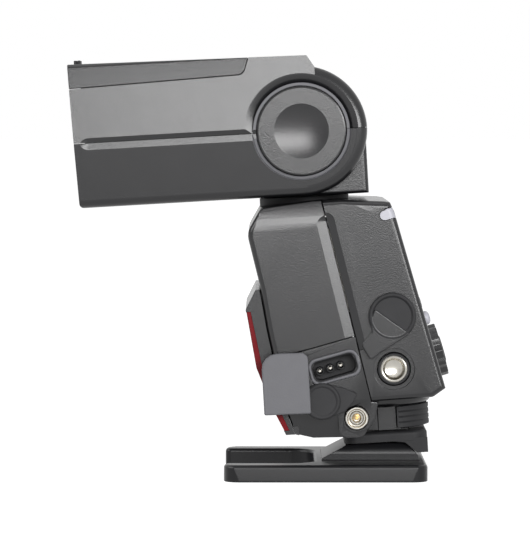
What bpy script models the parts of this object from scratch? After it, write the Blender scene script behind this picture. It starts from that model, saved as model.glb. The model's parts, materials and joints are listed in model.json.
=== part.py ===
"""A hot-shoe flash unit with a head that tilts and turns, standing on its small table stand.

Lengths are millimetres and angles degrees; the shape builders turn them into Blender's metres.
The flash is built upright in its own frame: x runs to the rear, y to the side away from the
viewer, z up from the underside of the foot. The whole flash then leans forward on its stand.
Head, neck and rear-panel pieces are built in the frame of the empty that carries them.
"""

import math

import bmesh
import bpy
from mathutils import Matrix, Vector

MM = 0.001
WELD = 0.001

# How the flash stands
LEAN = 3.3
FOOT_HEIGHT = 8.0

# Walls, gaps, a hair's difference between faces, a cutter's overrun, and a length beyond every piece
WALL = 2.0
SEAM = 0.3
PLAY = 0.4
HAIR = 0.1
PAST = 1.0
LARGE = 200.0

# Facets of round pieces
ROUND_STEPS = 40
MEDIUM_STEPS = 24
SMALL_STEPS = 16
PIN_STEPS = 12
ARC_STEPS = 4

# Body in side view: x and z from the foot, or x and the drop from the top, with a corner radius
BODY_HALF_WIDTH = 35.0
BODY_TOP = 85.3
TOP_FRONT = (-36.9, 1.3, 2.5)
BROW = (-41.9, 9.0, 6.0)
FRONT_LINE = [(-38.4, 57.5), (-36.8, 44.3), (-34.8, 32.0), (-32.0, 18.0), (-29.5, 9.5)]
CHIN_X = -24.0
HEEL_X = -9.5
HEEL_RADIUS = 2.5
BASE_BACK = [(-5.4, 12.0), (-4.6, 19.0)]
REAR_UNDERSIDE = 19.3
REAR_UNDER = [(15.6, REAR_UNDERSIDE, 2.5), (19.9, 22.0, 0)]
REAR_FOOT = (19.6, 23.4)
REAR_TILT = 13.0
REAR_TOP_DROP = 5.0
REAR_SLOPE = [(-1.3, 1.7), (-3.3, 1.25)]
ROOF = (-10.8, -20.0)

# Joints between the body's pieces
SEAM_FOOT = (-4.5, REAR_UNDERSIDE)
SEAM_TILT = 10.73
LEVEL_SEAM = (-24.9, 37.1)
LEVEL_TILT = 12.5

# Terminal housing: how much narrower it is, and how it tucks in towards the foot
BASE_STEP = 0.4
BASE_TUCK = 5.6
BASE_TUCK_FROM = 20.0
BASE_FLOOR = 6.0

# Head, measured from the tilt hinge
HINGE_X = -22.3
HUB_RADIUS = 21.45
HUB_PROUD = 1.0
HUB_ROOT = 2.0
RIM_WIDTH = 6.95
# The hub's rim: share of its width out from the button, and height against the hub's face
HUB_RIM = [(0.13, -0.8), (0.34, -0.9), (0.54, 0.0), (0.68, 0.0), (0.88, -0.6), (1.0, -2.2)]
HEAD_LENGTH = 74.7
HEAD_HALF_WIDTH = 37.0
HEAD_DRAFT = 1.7
HEAD_EDGE_RADIUS = 4.0
HEAD_LIP_RADIUS = 1.5
FRONT_RAKE = 1.4
HEAD_OVER_HUB = 4.35
HEAD_ABOVE_BODY = 1.65
REAR_LIP = [(3.0, 1.4), (5.4, 5.3)]
COVER_DEPTH = 7.7
COVER_RISE = 1.2
COVER_PAST_HUB = 1.55
COVER_CORNER = 2.6
COVER_LEAN = 1.9
COVER_DROP = 1.1

# Lens and the panels that pull out of the front
LENS_BEZEL = 6.0
LENS_FRAME = 1.8
LENS_THICKNESS = 2.0
PANEL_THICKNESS = 1.6
PANEL_STOP = 7.0
CARD_THICKNESS = 0.8
CARD_STOP = 4.5
PULL_SUNK = 0.6
TAB_HALF_WIDTH = 5.0
TAB_DEPTH = (2.0, 4.2)
TAB_HEIGHT = 1.4

# Zoom drive: guide rods, lead screw, motor, carriage and reflector
GUIDE_INSET = 6.5
GUIDE_RISE = 7.3
GUIDE_RADIUS = 1.5
POST_LENGTH = 2.0
POST_HALF_WIDTH = 2.5
SCREW_RISE = 5.3
MOTOR_RADIUS = 4.6
MOTOR_LENGTH = 11.0
MOTOR_GAP = 3.5
CARRIAGE_THICKNESS = 2.0
CARRIAGE_ARM = (-4.0, 6.0)
CARRIAGE_ARM_THICKNESS = 1.9
REFLECTOR_DEPTH = 12.0
REFLECTOR_HALF_HEIGHT = 8.0
REFLECTOR_RISE = 1.0
REFLECTOR_SKIN = 1.1
REFLECTOR_STEPS = 5
TUBE_RADIUS = 2.3
TUBE_FOCUS = 3.8

# Neck, swivel and tilt lock
NECK_HALF_WIDTH = 27.6
NECK_FRONT = 13.7
NECK_STEPS = 20
AXLE_RADIUS = 5.0
AXLE_BITE = 2.0
JOURNAL_RADIUS = 11.0
JOURNAL_BELOW_WALL = 4.7
CABLE_RADIUS = 7.0
RING_WIDTH = 1.9
RING_THICKNESS = 1.6
WASHER_WIDTH = 3.0
WASHER_THICKNESS = 0.8
BUTTON_SUNK = 0.3
BUTTON_TRAVEL = 1.8
BUTTON_SKIRT = 4.0
BUTTON_WALL = 2.0
BUTTON_FACE = 2.4
DIMPLE_RADIUS = 8.9
DIMPLE_DEPTH = 1.1
DIMPLE_STEPS = 5
CAP_DEPTH = 3.5

# Cells, capacitor and battery door
CELL_COUNT = 4
CELLS_ACROSS = 2
CELL_RADIUS = 7.25
CELL_LENGTH = 50.5
CELL_SPARE = 0.7
CELL_FRONT_X = -27.8
CELL_LOW_Z = 54.5
CELL_FROM_SIDE = 6.5
NUB_RADIUS = 2.7
NUB_LENGTH = 1.2
CONTACT_THICKNESS = 1.2
CONTACT_INSET = 1.0
DOOR_MARGIN = 0.9
DOOR_HINGE_AHEAD = 0.5
DOOR_HINGE_OUT = 0.6
CAPACITOR_CENTRE = (-20.0, 23.0)
CAPACITOR_RADIUS = 10.0
CAPACITOR_LENGTH = 43.0
CAPACITOR_FROM_SIDE = 10.0

# Rear panel, measured along the panel from its lower edge and out from its face
STRIP_DROP = 5.1
STRIP_HALF_HEIGHT = 1.45
STRIP_DEPTH = 3.4
SCREEN_LOW = 31.5
SCREEN_HEIGHT = 23.5
SCREEN_HALF_WIDTH = 26.0
SCREEN_SUNK = 0.2
DISPLAY_MARGIN = 1.0
DISPLAY_DEPTH = 6.0
BOARD_MIDDLE = 31.0
BOARD_HEIGHT = 54.0
BOARD_DEPTH = 8.0
BOARD_THICKNESS = 1.6
KEY_COUNT = 4
KEY_ROW = 27.2
KEY_PITCH = 14.0
KEY_WIDTH = 9.0
KEY_HEIGHT = 3.4
KEY_CORNER = 1.2
KEY_TRAVEL = 0.6
KEY_LIP = 1.2
KEY_LIP_RISE = 0.4
STEM_DEPTH = 1.8
DIAL_HEIGHT = 8.6
DIAL_RADIUS = 8.9
DIAL_PROUD = 3.4
DIAL_SCALLOPS = 12
SCALLOP_DEPTH = 0.9
SCALLOP_STEPS = 4
COLLAR_WALL = 1.3
SET_RADIUS = 4.5
SET_PROUD = 0.4
LAMP_HEIGHT = 21.4
LAMP_Y = -19.0
LAMP_RADIUS = 2.3
LAMP_PROUD = 2.0
LAMP_DOME = 0.8
LAMP_TOP_RADIUS = 1.4
LAMP_TOP_DROP = 0.1
LAMP_LIP = 0.9
SWITCH_HEIGHT = 12.0
SWITCH_Y = 22.0
SWITCH_RADIUS = 5.5
SWITCH_PROUD = 1.4
GRIP_WIDTH = 2.2
GRIP_INSET = 0.75
GRIP_PROUD = 2.6
GRIP_CORNER = 0.8

# Power socket on the near side
SOCKET_CENTRE = (-15.9, 30.9)
SOCKET_LENGTH = 17.0
SOCKET_HEIGHT = 9.0
SOCKET_CORNER = 3.0
SOCKET_WALL = 1.5
SOCKET_DEPTH = 5.4
SOCKET_BACK = 7.0
PIN_COUNT = 3
PIN_PITCH = 3.5
PIN_OFFSET = -1.4
PIN_RADIUS = 0.8
PIN_SUNK = 1.8
PIN_PLATE_THICKNESS = 1.2
PIN_PLATE_INSET = 2.5

# Sync terminal and bracket bush on the near side
SYNC_CENTRE = (-9.6, 13.9)
SYNC_RADIUS = 3.75
# The pad round the terminal: corners from the terminal's centre, some with a radius
SYNC_PAD = [(-6.0, -6.4, 3.0), (3.0, -6.4, 3.0), (4.2, 5.0, 0), (-6.0, 5.0, 2.0)]
SYNC_BOSS_SUNK = 1.6
SYNC_BOSS_BACK = 9.0
SYNC_BACK = 6.0
SYNC_PROUD = 1.6
SYNC_LIP = 0.4
SYNC_WALL = 1.1
SYNC_FLOOR = 2.4
SYNC_PIN_ROOM = 0.9
SYNC_PIN_RADIUS = 0.6
BRACKET_CENTRE = (3.4, 29.3)
BRACKET_RADIUS = 5.25
BRACKET_RECESS = 1.55
BRACKET_THREAD_RADIUS = 3.2
BUSH_DEPTH = 8.0
BUSH_SUNK = 0.4
BUSH_CHAMFER = 0.8
BUSH_FLOOR = 2.0

# Rubber covers beside the terminals
CAP_THICKNESS = 2.0
CAP_LIP = 1.2
CAP_DISH = 0.5
SYNC_CAP_CENTRE = (-20.6, 20.2)
SYNC_CAP_RADIUS = 6.0
SYNC_STRAP_ANCHOR = (-12.6, 21.4)
BRACKET_CAP_CENTRE = (3.8, 46.6)
BRACKET_CAP_RADIUS = 7.7
BRACKET_STRAP_ANCHOR = (-6.0, 38.2)
ANCHOR_RADIUS = 2.2
ANCHOR_POST_RADIUS = 1.6
STRAP_HALF_WIDTH = 1.7
STRAP_SUNK = 0.5
FLAP_HINGE_X = -24.0
FLAP_LOW = 16.7
FLAP_HIGH = 36.9
FLAP_LENGTH = 15.2
FLAP_THICKNESS = 2.0
FLAP_CORNER = 5.0
FLAP_HINGE_CORNER = 1.6
FLAP_EDGE = 0.6
FLAP_RIB = (27.5, 35.0)
FLAP_RIB_WIDTH = 1.0
FLAP_PIVOT_OUT = 0.2

# Focus-assist window on the front: how proud it stands at each point of the front line
WINDOW_PROUD = [1.4, 6.6, 6.3, 4.4, 3.0]
WINDOW_BROW = 6.9
WINDOW_BROW_RADIUS = 1.2
WINDOW_INSET = 3.0
WINDOW_SKIN = 2.4
WINDOW_ROOM = 12.0
FOCUS_LAMP_DEPTH = 2.2
FOCUS_LAMP_HALF_WIDTH = 6.0
FOCUS_LAMP_HEIGHT = 4.5

# Foot, shoe plate and contacts
FOOT_HALF_WIDTH = 9.3
FOOT_HALF_LENGTH = 9.0
FOOT_FLANGE = 2.0
FOOT_NECK_HALF = 6.2
FOOT_PLATE_TOP = 4.5
FOOT_SHOULDER = 1.0
FOOT_BLOCK_TOP = 15.2
FOOT_BLOCK_X = (-2.4, 5.3)
FOOT_BLOCK_HALF_WIDTH = 12.5
FOOT_DISC_RADIUS = 15.0
FOOT_TAB = (1.2, 0.4)
FOOT_TAB_HALF_WIDTH = 4.0
FOOT_TAB_DROP = 4.0
CONTACT_SPOTS = [(0, 0), (-2.8, -2.6), (-2.8, 2.6), (3.0, -2.6), (3.0, 2.6)]
CONTACT_RADIUS = 0.85
CONTACT_HOLE = 1.2
CONTACT_BOARD = ((-4.2, 4.4), (-4.0, 4.0))
CONTACT_BOARD_LOW = 3.2
CONTACT_SUNK = 0.05

# Lock lever and pin
LOCK_PIN_RADIUS = 1.1
LOCK_PIN_X = -6.4
LOCK_PIN_REACH = 2.0
LOCK_PIN_HEAD = 1.0
LEVER_TRAVEL = 11.0
LEVER_Y = (-12.3, -1.3)
LEVER_REAR = (11.5, 13.4)
LEVER_BEND_Y = -6.0
LEVER_CORNER = 2.0
LEVER_GAP = 0.9
LEVER_RIBS = 4
RIB_GROOVE = 0.9
RIB_X = 10.5
TONGUE_Y = (-8.3, -5.3)
TONGUE_Z = (9.9, 11.9)
TONGUE_LENGTH = 4.0

# Weather skirt round the foot
SKIRT_BOTTOM = 3.7
SKIRT_TOP = 7.0
SKIRT_HALF_WIDTH = 15.5
SKIRT_CORNER = 4.0
SKIRT_AHEAD = 0.7
SKIRT_BEHIND = 3.4
APRON_DROP = 4.2
CHIN_OVER_SKIRT = 0.9

# Table stand
STAND_FRONT = -53.8
STAND_REAR = 13.1
STAND_HALF_WIDTH = 32.0
STAND_THICKNESS = 5.6
STAND_CORNER = 5.0
STAND_TOE_CORNER = 2.0
STAND_GAP_HALF = 23.5
STAND_GAP_END = -24.0
STAND_GAP_CORNER = 8.0
SHOE_TOP = 3.3
SHOE_HALF_WIDTH = 15.0
SHOE_FRONT = -13.0
SHOE_REAR = 10.6
SHOE_CORNER = 3.0
SHOE_RAMP = 8.5
SHOE_RAMP_Z = -0.6
SHOE_TAIL = 4.0
SHOE_TAIL_Z = -1.5
TRIPOD_X = -16.0
TRIPOD_RADIUS = 3.1
TRIPOD_BUSH_RADIUS = 5.0
TRIPOD_DEPTH = 4.8
TRIPOD_FLOOR = 1.0
TRIPOD_SUNK = 0.2

# Places worked out from the sizes above
NEAR_FACE = -BODY_HALF_WIDTH
BASE_HALF_WIDTH = BODY_HALF_WIDTH - BASE_STEP
BASE_NEAR = -BASE_HALF_WIDTH
HINGE_Z = BODY_TOP + HEAD_ABOVE_BODY + HUB_RADIUS
HEAD_FRONT = -HEAD_LENGTH
HEAD_TOP = HUB_RADIUS + HEAD_OVER_HUB
HEAD_BOTTOM = PLAY - HUB_RADIUS
HUB_FACE = HEAD_HALF_WIDTH + HUB_PROUD
BUTTON_RADIUS = HUB_RADIUS - RIM_WIDTH
POCKET_RADIUS = BUTTON_RADIUS + PLAY
POCKET_FLOOR = HUB_FACE - BUTTON_SUNK - BUTTON_SKIRT - BUTTON_TRAVEL - PLAY
CAP_FLOOR = HUB_FACE - BUTTON_SUNK - CAP_DEPTH
EAR_INNER = NECK_HALF_WIDTH + PLAY + SEAM
NECK_RADIUS = HUB_RADIUS - PLAY
NECK_ROOM = NECK_RADIUS + PLAY + SEAM / 2
NECK_BOTTOM = -HUB_RADIUS
JOURNAL_LENGTH = WALL + JOURNAL_BELOW_WALL
JOURNAL_FOOT = NECK_BOTTOM - JOURNAL_LENGTH
BULKHEAD = -NECK_RADIUS - WALL - PAST
CAVITY_HALF = HEAD_HALF_WIDTH - HEAD_DRAFT - WALL
CAVITY_FLOOR = HEAD_BOTTOM + WALL
COVER_LINE = HEAD_TOP - COVER_DEPTH
COVER_END = COVER_PAST_HUB - HUB_RADIUS
CAVITY_ROOF = COVER_LINE - WALL
CAVITY_FRONT = HEAD_FRONT + FRONT_RAKE + WALL
LENS_FRONT = CAVITY_FRONT + PLAY
LENS_BACK = LENS_FRONT + LENS_THICKNESS
OPTIC_Z = (CAVITY_FLOOR + CAVITY_ROOF) / 2 + REFLECTOR_RISE
PANEL_LOW = COVER_LINE + COVER_RISE + PLAY
CARD_LOW = PANEL_LOW + PANEL_THICKNESS + PLAY
PANEL_ROOF = CARD_LOW + CARD_THICKNESS + PLAY
GUIDE_Y = CAVITY_HALF - GUIDE_INSET
GUIDE_Z = CAVITY_FLOOR + GUIDE_RISE
GUIDE_ENDS = (LENS_BACK + PLAY, BULKHEAD - PLAY)
SCREW_Z = CAVITY_FLOOR + SCREW_RISE
MOTOR_REAR = BULKHEAD - PLAY
MOTOR_FRONT = MOTOR_REAR - MOTOR_LENGTH
CARRIAGE_REAR = MOTOR_FRONT - MOTOR_GAP
CARRIAGE_FRONT = CARRIAGE_REAR - CARRIAGE_THICKNESS
REFLECTOR_BACK = CARRIAGE_FRONT - PLAY
REFLECTOR_HALF = GUIDE_Y + GUIDE_RADIUS
ARM_OUTER = REFLECTOR_HALF + PLAY + CARRIAGE_ARM_THICKNESS
CELL_PITCH = 2 * CELL_RADIUS + CELL_SPARE
CELL_FAR = BODY_HALF_WIDTH - CELL_FROM_SIDE
CELL_NEAR = CELL_FAR - CELL_LENGTH
CELLS_X = CELL_FRONT_X + CELL_PITCH / 2
CELLS_Z = CELL_LOW_Z + CELL_PITCH / 2
CELLS_HALF = CELL_PITCH / 2 + CELL_RADIUS
CONTACT_HALF = CELLS_HALF - CONTACT_INSET
KEY_PROUD = KEY_TRAVEL + PLAY
COLLAR_RADIUS = SET_RADIUS + COLLAR_WALL
SCREEN_MIDDLE = SCREEN_LOW + SCREEN_HEIGHT / 2
CAP_INNER = NEAR_FACE - PLAY
CAP_OUTER = CAP_INNER - CAP_THICKNESS
FLAP_INNER = CAP_OUTER - PLAY
FLAP_OUTER = FLAP_INNER - FLAP_THICKNESS
WINDOW_HALF_WIDTH = BODY_HALF_WIDTH - WINDOW_INSET
FOOT_TOP = REAR_UNDERSIDE - PLAY - SEAM
FOOT_CORE_LENGTH = FOOT_HALF_LENGTH - FOOT_SHOULDER
FOOT_CORE_WIDTH = FOOT_HALF_WIDTH - SEAM

# Finishes: colour, roughness and metallic value
BLACK_PLASTIC = ((0.045, 0.045, 0.05), 0.55)
SOFT_RUBBER = ((0.05, 0.05, 0.055), 0.75)
GREY_RUBBER = ((0.16, 0.16, 0.165), 0.6)
GLOSS_BLACK = ((0.02, 0.02, 0.022), 0.2)
RED_PLASTIC = ((0.45, 0.02, 0.03), 0.2)
PALE_PLASTIC = ((0.6, 0.6, 0.66), 0.4)
CLEAR_PLASTIC = ((0.8, 0.82, 0.85), 0.1)
WHITE_PLASTIC = ((0.85, 0.85, 0.85), 0.5)
GREEN_BOARD = ((0.02, 0.16, 0.07), 0.5)
STEEL = ((0.62, 0.6, 0.56), 0.25, 1.0)
BRASS = ((0.7, 0.5, 0.25), 0.3, 1.0)
SMOOTH_ANGLE = 30.0


def shape(bm):
    """Puts a finished mesh into the scene, faces outwards, and returns its object."""
    bmesh.ops.recalc_face_normals(bm, faces=bm.faces)
    mesh = bpy.data.meshes.new("shape")
    bm.to_mesh(mesh)
    bm.free()
    made = bpy.data.objects.new("shape", mesh)
    bpy.context.scene.collection.objects.link(made)
    return made


def prism(outline, low, high, across):
    """A straight solid that runs from low to high along one axis, with the outline square to it."""
    first, second, along = {"X": (1, 2, 0), "Y": (0, 2, 1), "Z": (0, 1, 2)}[across]
    bm = bmesh.new()
    corners = []
    for a, b in outline:
        place = Vector((0, 0, 0))
        place[first] = a * MM
        place[second] = b * MM
        place[along] = low * MM
        corners.append(bm.verts.new(place))
    grown = bmesh.ops.extrude_face_region(bm, geom=[bm.faces.new(corners)])
    lift = Vector((0, 0, 0))
    lift[along] = (high - low) * MM
    lifted = [item for item in grown["geom"] if isinstance(item, bmesh.types.BMVert)]
    bmesh.ops.translate(bm, verts=lifted, vec=lift)
    return shape(bm)


def box(x, y, z):
    """A box from three (low, high) pairs."""
    return prism([(x[0], y[0]), (x[1], y[0]), (x[1], y[1]), (x[0], y[1])], z[0], z[1], "Z")


def circle(centre, radius, steps):
    """The points of a circle in an outline's plane."""
    turns = [2 * math.pi * step / steps for step in range(steps)]
    return [(centre[0] + radius * math.cos(t), centre[1] + radius * math.sin(t)) for t in turns]


def rod(centre, radius, low, high, across, steps=MEDIUM_STEPS):
    """A round bar along one axis."""
    return prism(circle(centre, radius, steps), low, high, across)


def tube(centre, inner, outer, low, high, across):
    """A round bar with a round hole through it."""
    bar = rod(centre, outer, low, high, across, ROUND_STEPS)
    return cut(bar, rod(centre, inner, low - PAST, high + PAST, across, ROUND_STEPS))


def turned(profile, centre, across, steps=ROUND_STEPS):
    """A solid of revolution from (radius, height) points, about an axis through centre."""
    along = {"X": 0, "Y": 1, "Z": 2}[across]
    out = (along + 1) % 3
    bm = bmesh.new()
    points = []
    for radius, height in profile:
        place = Vector(centre) * MM
        place[along] += height * MM
        place[out] += radius * MM
        points.append(bm.verts.new(place))
    edges = [bm.edges.new(pair) for pair in zip(points, points[1:])]
    axis = Vector((0, 0, 0))
    axis[along] = 1
    bmesh.ops.spin(
        bm, geom=points + edges, cent=Vector(centre) * MM, axis=axis,
        angle=2 * math.pi, steps=steps, use_merge=True,
    )
    bmesh.ops.remove_doubles(bm, verts=bm.verts, dist=WELD * MM)
    return shape(bm)


def unit_towards(start, end):
    """The direction from one outline point to another."""
    run = math.hypot(end[0] - start[0], end[1] - start[1])
    return (end[0] - start[0]) / run, (end[1] - start[1]) / run


def rounded(*corners):
    """An outline through (a, b) and (a, b, radius) corners, with an arc where a radius is given."""
    outline = []
    for index, corner in enumerate(corners):
        if len(corner) == 2 or corner[2] <= 0:
            outline.append(corner[:2])
            continue
        back = unit_towards(corner, corners[index - 1])
        ahead = unit_towards(corner, corners[(index + 1) % len(corners)])
        half = math.acos(back[0] * ahead[0] + back[1] * ahead[1]) / 2
        middle = unit_towards((0, 0), (back[0] + ahead[0], back[1] + ahead[1]))
        reach = corner[2] / math.sin(half)
        centre = (corner[0] + middle[0] * reach, corner[1] + middle[1] * reach)
        touch = corner[2] / math.tan(half)
        start = (corner[0] + back[0] * touch, corner[1] + back[1] * touch)
        end = (corner[0] + ahead[0] * touch, corner[1] + ahead[1] * touch)
        first = math.atan2(start[1] - centre[1], start[0] - centre[0])
        sweep = math.atan2(end[1] - centre[1], end[0] - centre[0]) - first
        sweep = (sweep + math.pi) % (2 * math.pi) - math.pi
        for step in range(ARC_STEPS + 1):
            turn = first + sweep * step / ARC_STEPS
            outline.append((
                centre[0] + corner[2] * math.cos(turn),
                centre[1] + corner[2] * math.sin(turn),
            ))
    return outline


def rectangle(low, high, radius=0.0):
    """An outline from two opposite corners, with all four corners rounded alike."""
    return rounded(
        (low[0], low[1], radius), (high[0], low[1], radius),
        (high[0], high[1], radius), (low[0], high[1], radius),
    )


def crossing(first, second):
    """Where two sides meet, each given by a point on it and its direction."""
    p, u = first[:2]
    q, v = second[:2]
    along = ((q[0] - p[0]) * v[1] - (q[1] - p[1]) * v[0]) / (u[0] * v[1] - u[1] * v[0])
    return p[0] + u[0] * along, p[1] + u[1] * along


def inset(corners, depth):
    """The same corners with every side of the outline moved inwards; a side that closes up is dropped."""
    pairs = list(zip(corners, corners[1:] + corners[:1]))
    area = sum(a[0] * b[1] - b[0] * a[1] for a, b in pairs)
    inwards = math.copysign(1, area)
    sides = []
    for a, b in pairs:
        run = unit_towards(a, b)
        start = (a[0] - run[1] * inwards * depth, a[1] + run[0] * inwards * depth)
        radius = a[2] - depth if len(a) == 3 else 0
        sides.append((start, run, radius))
    while True:
        places = [crossing(sides[index - 1], side) for index, side in enumerate(sides)]
        open_sides = []
        for place, ahead, side in zip(places, places[1:] + places[:1], sides):
            along = (ahead[0] - place[0]) * side[1][0] + (ahead[1] - place[1]) * side[1][1]
            if along > 0:
                open_sides.append(side)
        if len(open_sides) == len(sides):
            return [(*place, side[2]) for place, side in zip(places, sides)]
        sides = open_sides


def combine(base, operation, others):
    """Works the other shapes into base with Booleans and uses them up."""
    for other in others:
        step = base.modifiers.new("combine", "BOOLEAN")
        step.operation = operation
        step.solver = "EXACT"
        step.object = other
    graph = bpy.context.evaluated_depsgraph_get()
    made = bpy.data.meshes.new_from_object(base.evaluated_get(graph), depsgraph=graph)
    base.modifiers.clear()
    base.data = made
    for other in others:
        bpy.data.objects.remove(other)
    return base


def cut(base, *others):
    return combine(base, "DIFFERENCE", others)


def join(base, *others):
    return combine(base, "UNION", others)


def keep(base, *others):
    return combine(base, "INTERSECT", others)


def moved(made, matrix):
    """Moves a shape's mesh, so that it can be worked into one built in another frame."""
    made.data.transform(matrix)
    return made


def carrier(name, parent, location, turn_about_y=0.0):
    """An empty that carries pieces and marks a frame or a joint's axis."""
    made = bpy.data.objects.new(name, None)
    made.parent = parent
    made.location = Vector(location) * MM
    made.rotation_euler = (0, math.radians(turn_about_y), 0)
    bpy.context.scene.collection.objects.link(made)
    return made


def finish(name, colour, roughness, metallic=0.0):
    """A plain material for one piece."""
    made = bpy.data.materials.new(name)
    made.use_nodes = True
    shader = made.node_tree.nodes["Principled BSDF"]
    shader.inputs["Base Color"].default_value = (*colour, 1)
    shader.inputs["Roughness"].default_value = roughness
    shader.inputs["Metallic"].default_value = metallic
    return made


def piece(made, name, look, parent, origin=(0, 0, 0)):
    """Names a finished shape, hangs it on its carrier and puts its origin where it turns or slides."""
    made.name = name
    made.data.name = name
    made.data.transform(Matrix.Translation(-Vector(origin) * MM))
    made.location = Vector(origin) * MM
    made.parent = parent
    made.data.materials.clear()
    made.data.materials.append(finish(name, *look))
    made.data.shade_smooth()
    made.data.set_sharp_from_angle(angle=math.radians(SMOOTH_ANGLE))
    return made


def seam_x(z):
    """The joint between the front and rear halves of the body."""
    return SEAM_FOOT[0] - (z - SEAM_FOOT[1]) * math.tan(math.radians(SEAM_TILT))


def level_z(x):
    """The joint between the front half of the body and the terminal housing."""
    return LEVEL_SEAM[1] + (x - LEVEL_SEAM[0]) * math.tan(math.radians(LEVEL_TILT))


def seam_crossing():
    """The x, just ahead of the upright joint, where the level joint meets it."""
    upright = math.tan(math.radians(SEAM_TILT))
    level = math.tan(math.radians(LEVEL_TILT))
    rise = LEVEL_SEAM[1] + (SEAM_FOOT[0] + SEAM_FOOT[1] * upright - LEVEL_SEAM[0]) * level
    return seam_x(rise / (1 + upright * level)) - SEAM / 2


def rear_x(z):
    """The face of the rear panel."""
    return REAR_FOOT[0] - (z - REAR_FOOT[1]) * math.tan(math.radians(REAR_TILT))


def body_corners():
    """The side view of the whole body."""
    rear_top = rear_x(BODY_TOP - REAR_TOP_DROP)
    return [
        *[(x, BODY_TOP - drop, radius) for x, drop, radius in (TOP_FRONT, BROW)],
        *[(x, z, 0) for x, z in FRONT_LINE],
        (CHIN_X, SKIRT_TOP + CHIN_OVER_SKIRT, 0),
        (HEEL_X, SKIRT_TOP + PLAY, HEEL_RADIUS),
        *[(x, z, 0) for x, z in BASE_BACK],
        *REAR_UNDER,
        (*REAR_FOOT, 0),
        (rear_top, BODY_TOP - REAR_TOP_DROP, 0),
        *[(rear_top + ahead, BODY_TOP - drop, 0) for ahead, drop in REAR_SLOPE],
        *[(x, BODY_TOP, 0) for x in ROOF],
    ]


def body_block():
    return prism(rounded(*body_corners()), -BODY_HALF_WIDTH, BODY_HALF_WIDTH, "Y")


def body_hollow():
    half = BODY_HALF_WIDTH - WALL
    return prism(rounded(*inset(body_corners(), WALL)), -half, half, "Y")


def base_section(depth):
    """The terminal housing seen from the front, tucked in towards the foot, as a long block."""
    half = BASE_HALF_WIDTH - depth
    low = half - BASE_TUCK
    outline = [
        (-half, LARGE), (-half, BASE_TUCK_FROM), (-low, BASE_FLOOR),
        (low, BASE_FLOOR), (half, BASE_TUCK_FROM), (half, LARGE),
    ]
    return prism(outline, -LARGE, LARGE, "X")


def region(*corners):
    """A slab right across the body, for taking one part of it."""
    return prism(list(corners), -LARGE, LARGE, "Y")


def front_region():
    half = SEAM / 2
    corner = seam_crossing()
    return region(
        (-LARGE, level_z(-LARGE) + half), (corner, level_z(corner) + half),
        (seam_x(LARGE) - half, LARGE), (-LARGE, LARGE),
    )


def base_region():
    half = SEAM / 2
    corner = seam_crossing()
    return region(
        (-LARGE, level_z(-LARGE) - half), (corner, level_z(corner) - half),
        (seam_x(-LARGE) - half, -LARGE), (-LARGE, -LARGE),
    )


def rear_region():
    half = SEAM / 2
    return region(
        (seam_x(-LARGE) + half, -LARGE), (LARGE, -LARGE),
        (LARGE, LARGE), (seam_x(LARGE) + half, LARGE),
    )


def swivel_hole():
    depth = JOURNAL_LENGTH + WALL
    return rod(
        (HINGE_X, 0), JOURNAL_RADIUS + PLAY, BODY_TOP - depth, BODY_TOP + depth, "Z", ROUND_STEPS,
    )


def door_outline(grow):
    """The battery door, which covers the ends of the cells."""
    reach = CELLS_HALF + DOOR_MARGIN + grow
    return rectangle((CELLS_X - reach, CELLS_Z - reach), (CELLS_X + reach, CELLS_Z + reach))


def door_opening():
    return prism(door_outline(PLAY), BODY_HALF_WIDTH - WALL - PAST, BODY_HALF_WIDTH + PAST, "Y")


def make_front_shell(flash):
    shell = keep(body_block(), front_region())
    cut(shell, body_hollow(), swivel_hole(), door_opening())
    piece(shell, "front_shell", BLACK_PLASTIC, flash)


def on_panel(made):
    """Carries a shape from the rear panel's frame into the flash's."""
    turn = Matrix.Rotation(math.radians(-REAR_TILT), 4, "Y")
    return moved(made, Matrix.Translation(Vector((REAR_FOOT[0], 0, REAR_FOOT[1])) * MM) @ turn)


def key_centres():
    middle = (KEY_COUNT - 1) / 2
    return [(KEY_PITCH * (index - middle), KEY_ROW) for index in range(KEY_COUNT)]


def panel_rectangle(centre, width, height, low, high, radius=0.0):
    """A rectangle on the rear panel, standing from low to high out of its face."""
    y, z = centre
    outline = rectangle((y - width / 2, z - height / 2), (y + width / 2, z + height / 2), radius)
    return prism(outline, low, high, "X")


def strip_outline(grow):
    """The pale strip across the top of the rear panel, in side view, round at its front."""
    middle = BODY_TOP - STRIP_DROP
    half = STRIP_HALF_HEIGHT + grow
    rear = rear_x(middle)
    front = rear - STRIP_DEPTH - grow
    rounding = half - HAIR
    return rounded(
        (rear + STRIP_DEPTH, middle - half), (rear + STRIP_DEPTH, middle + half),
        (front, middle + half, rounding), (front, middle - half, rounding),
    )


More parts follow.
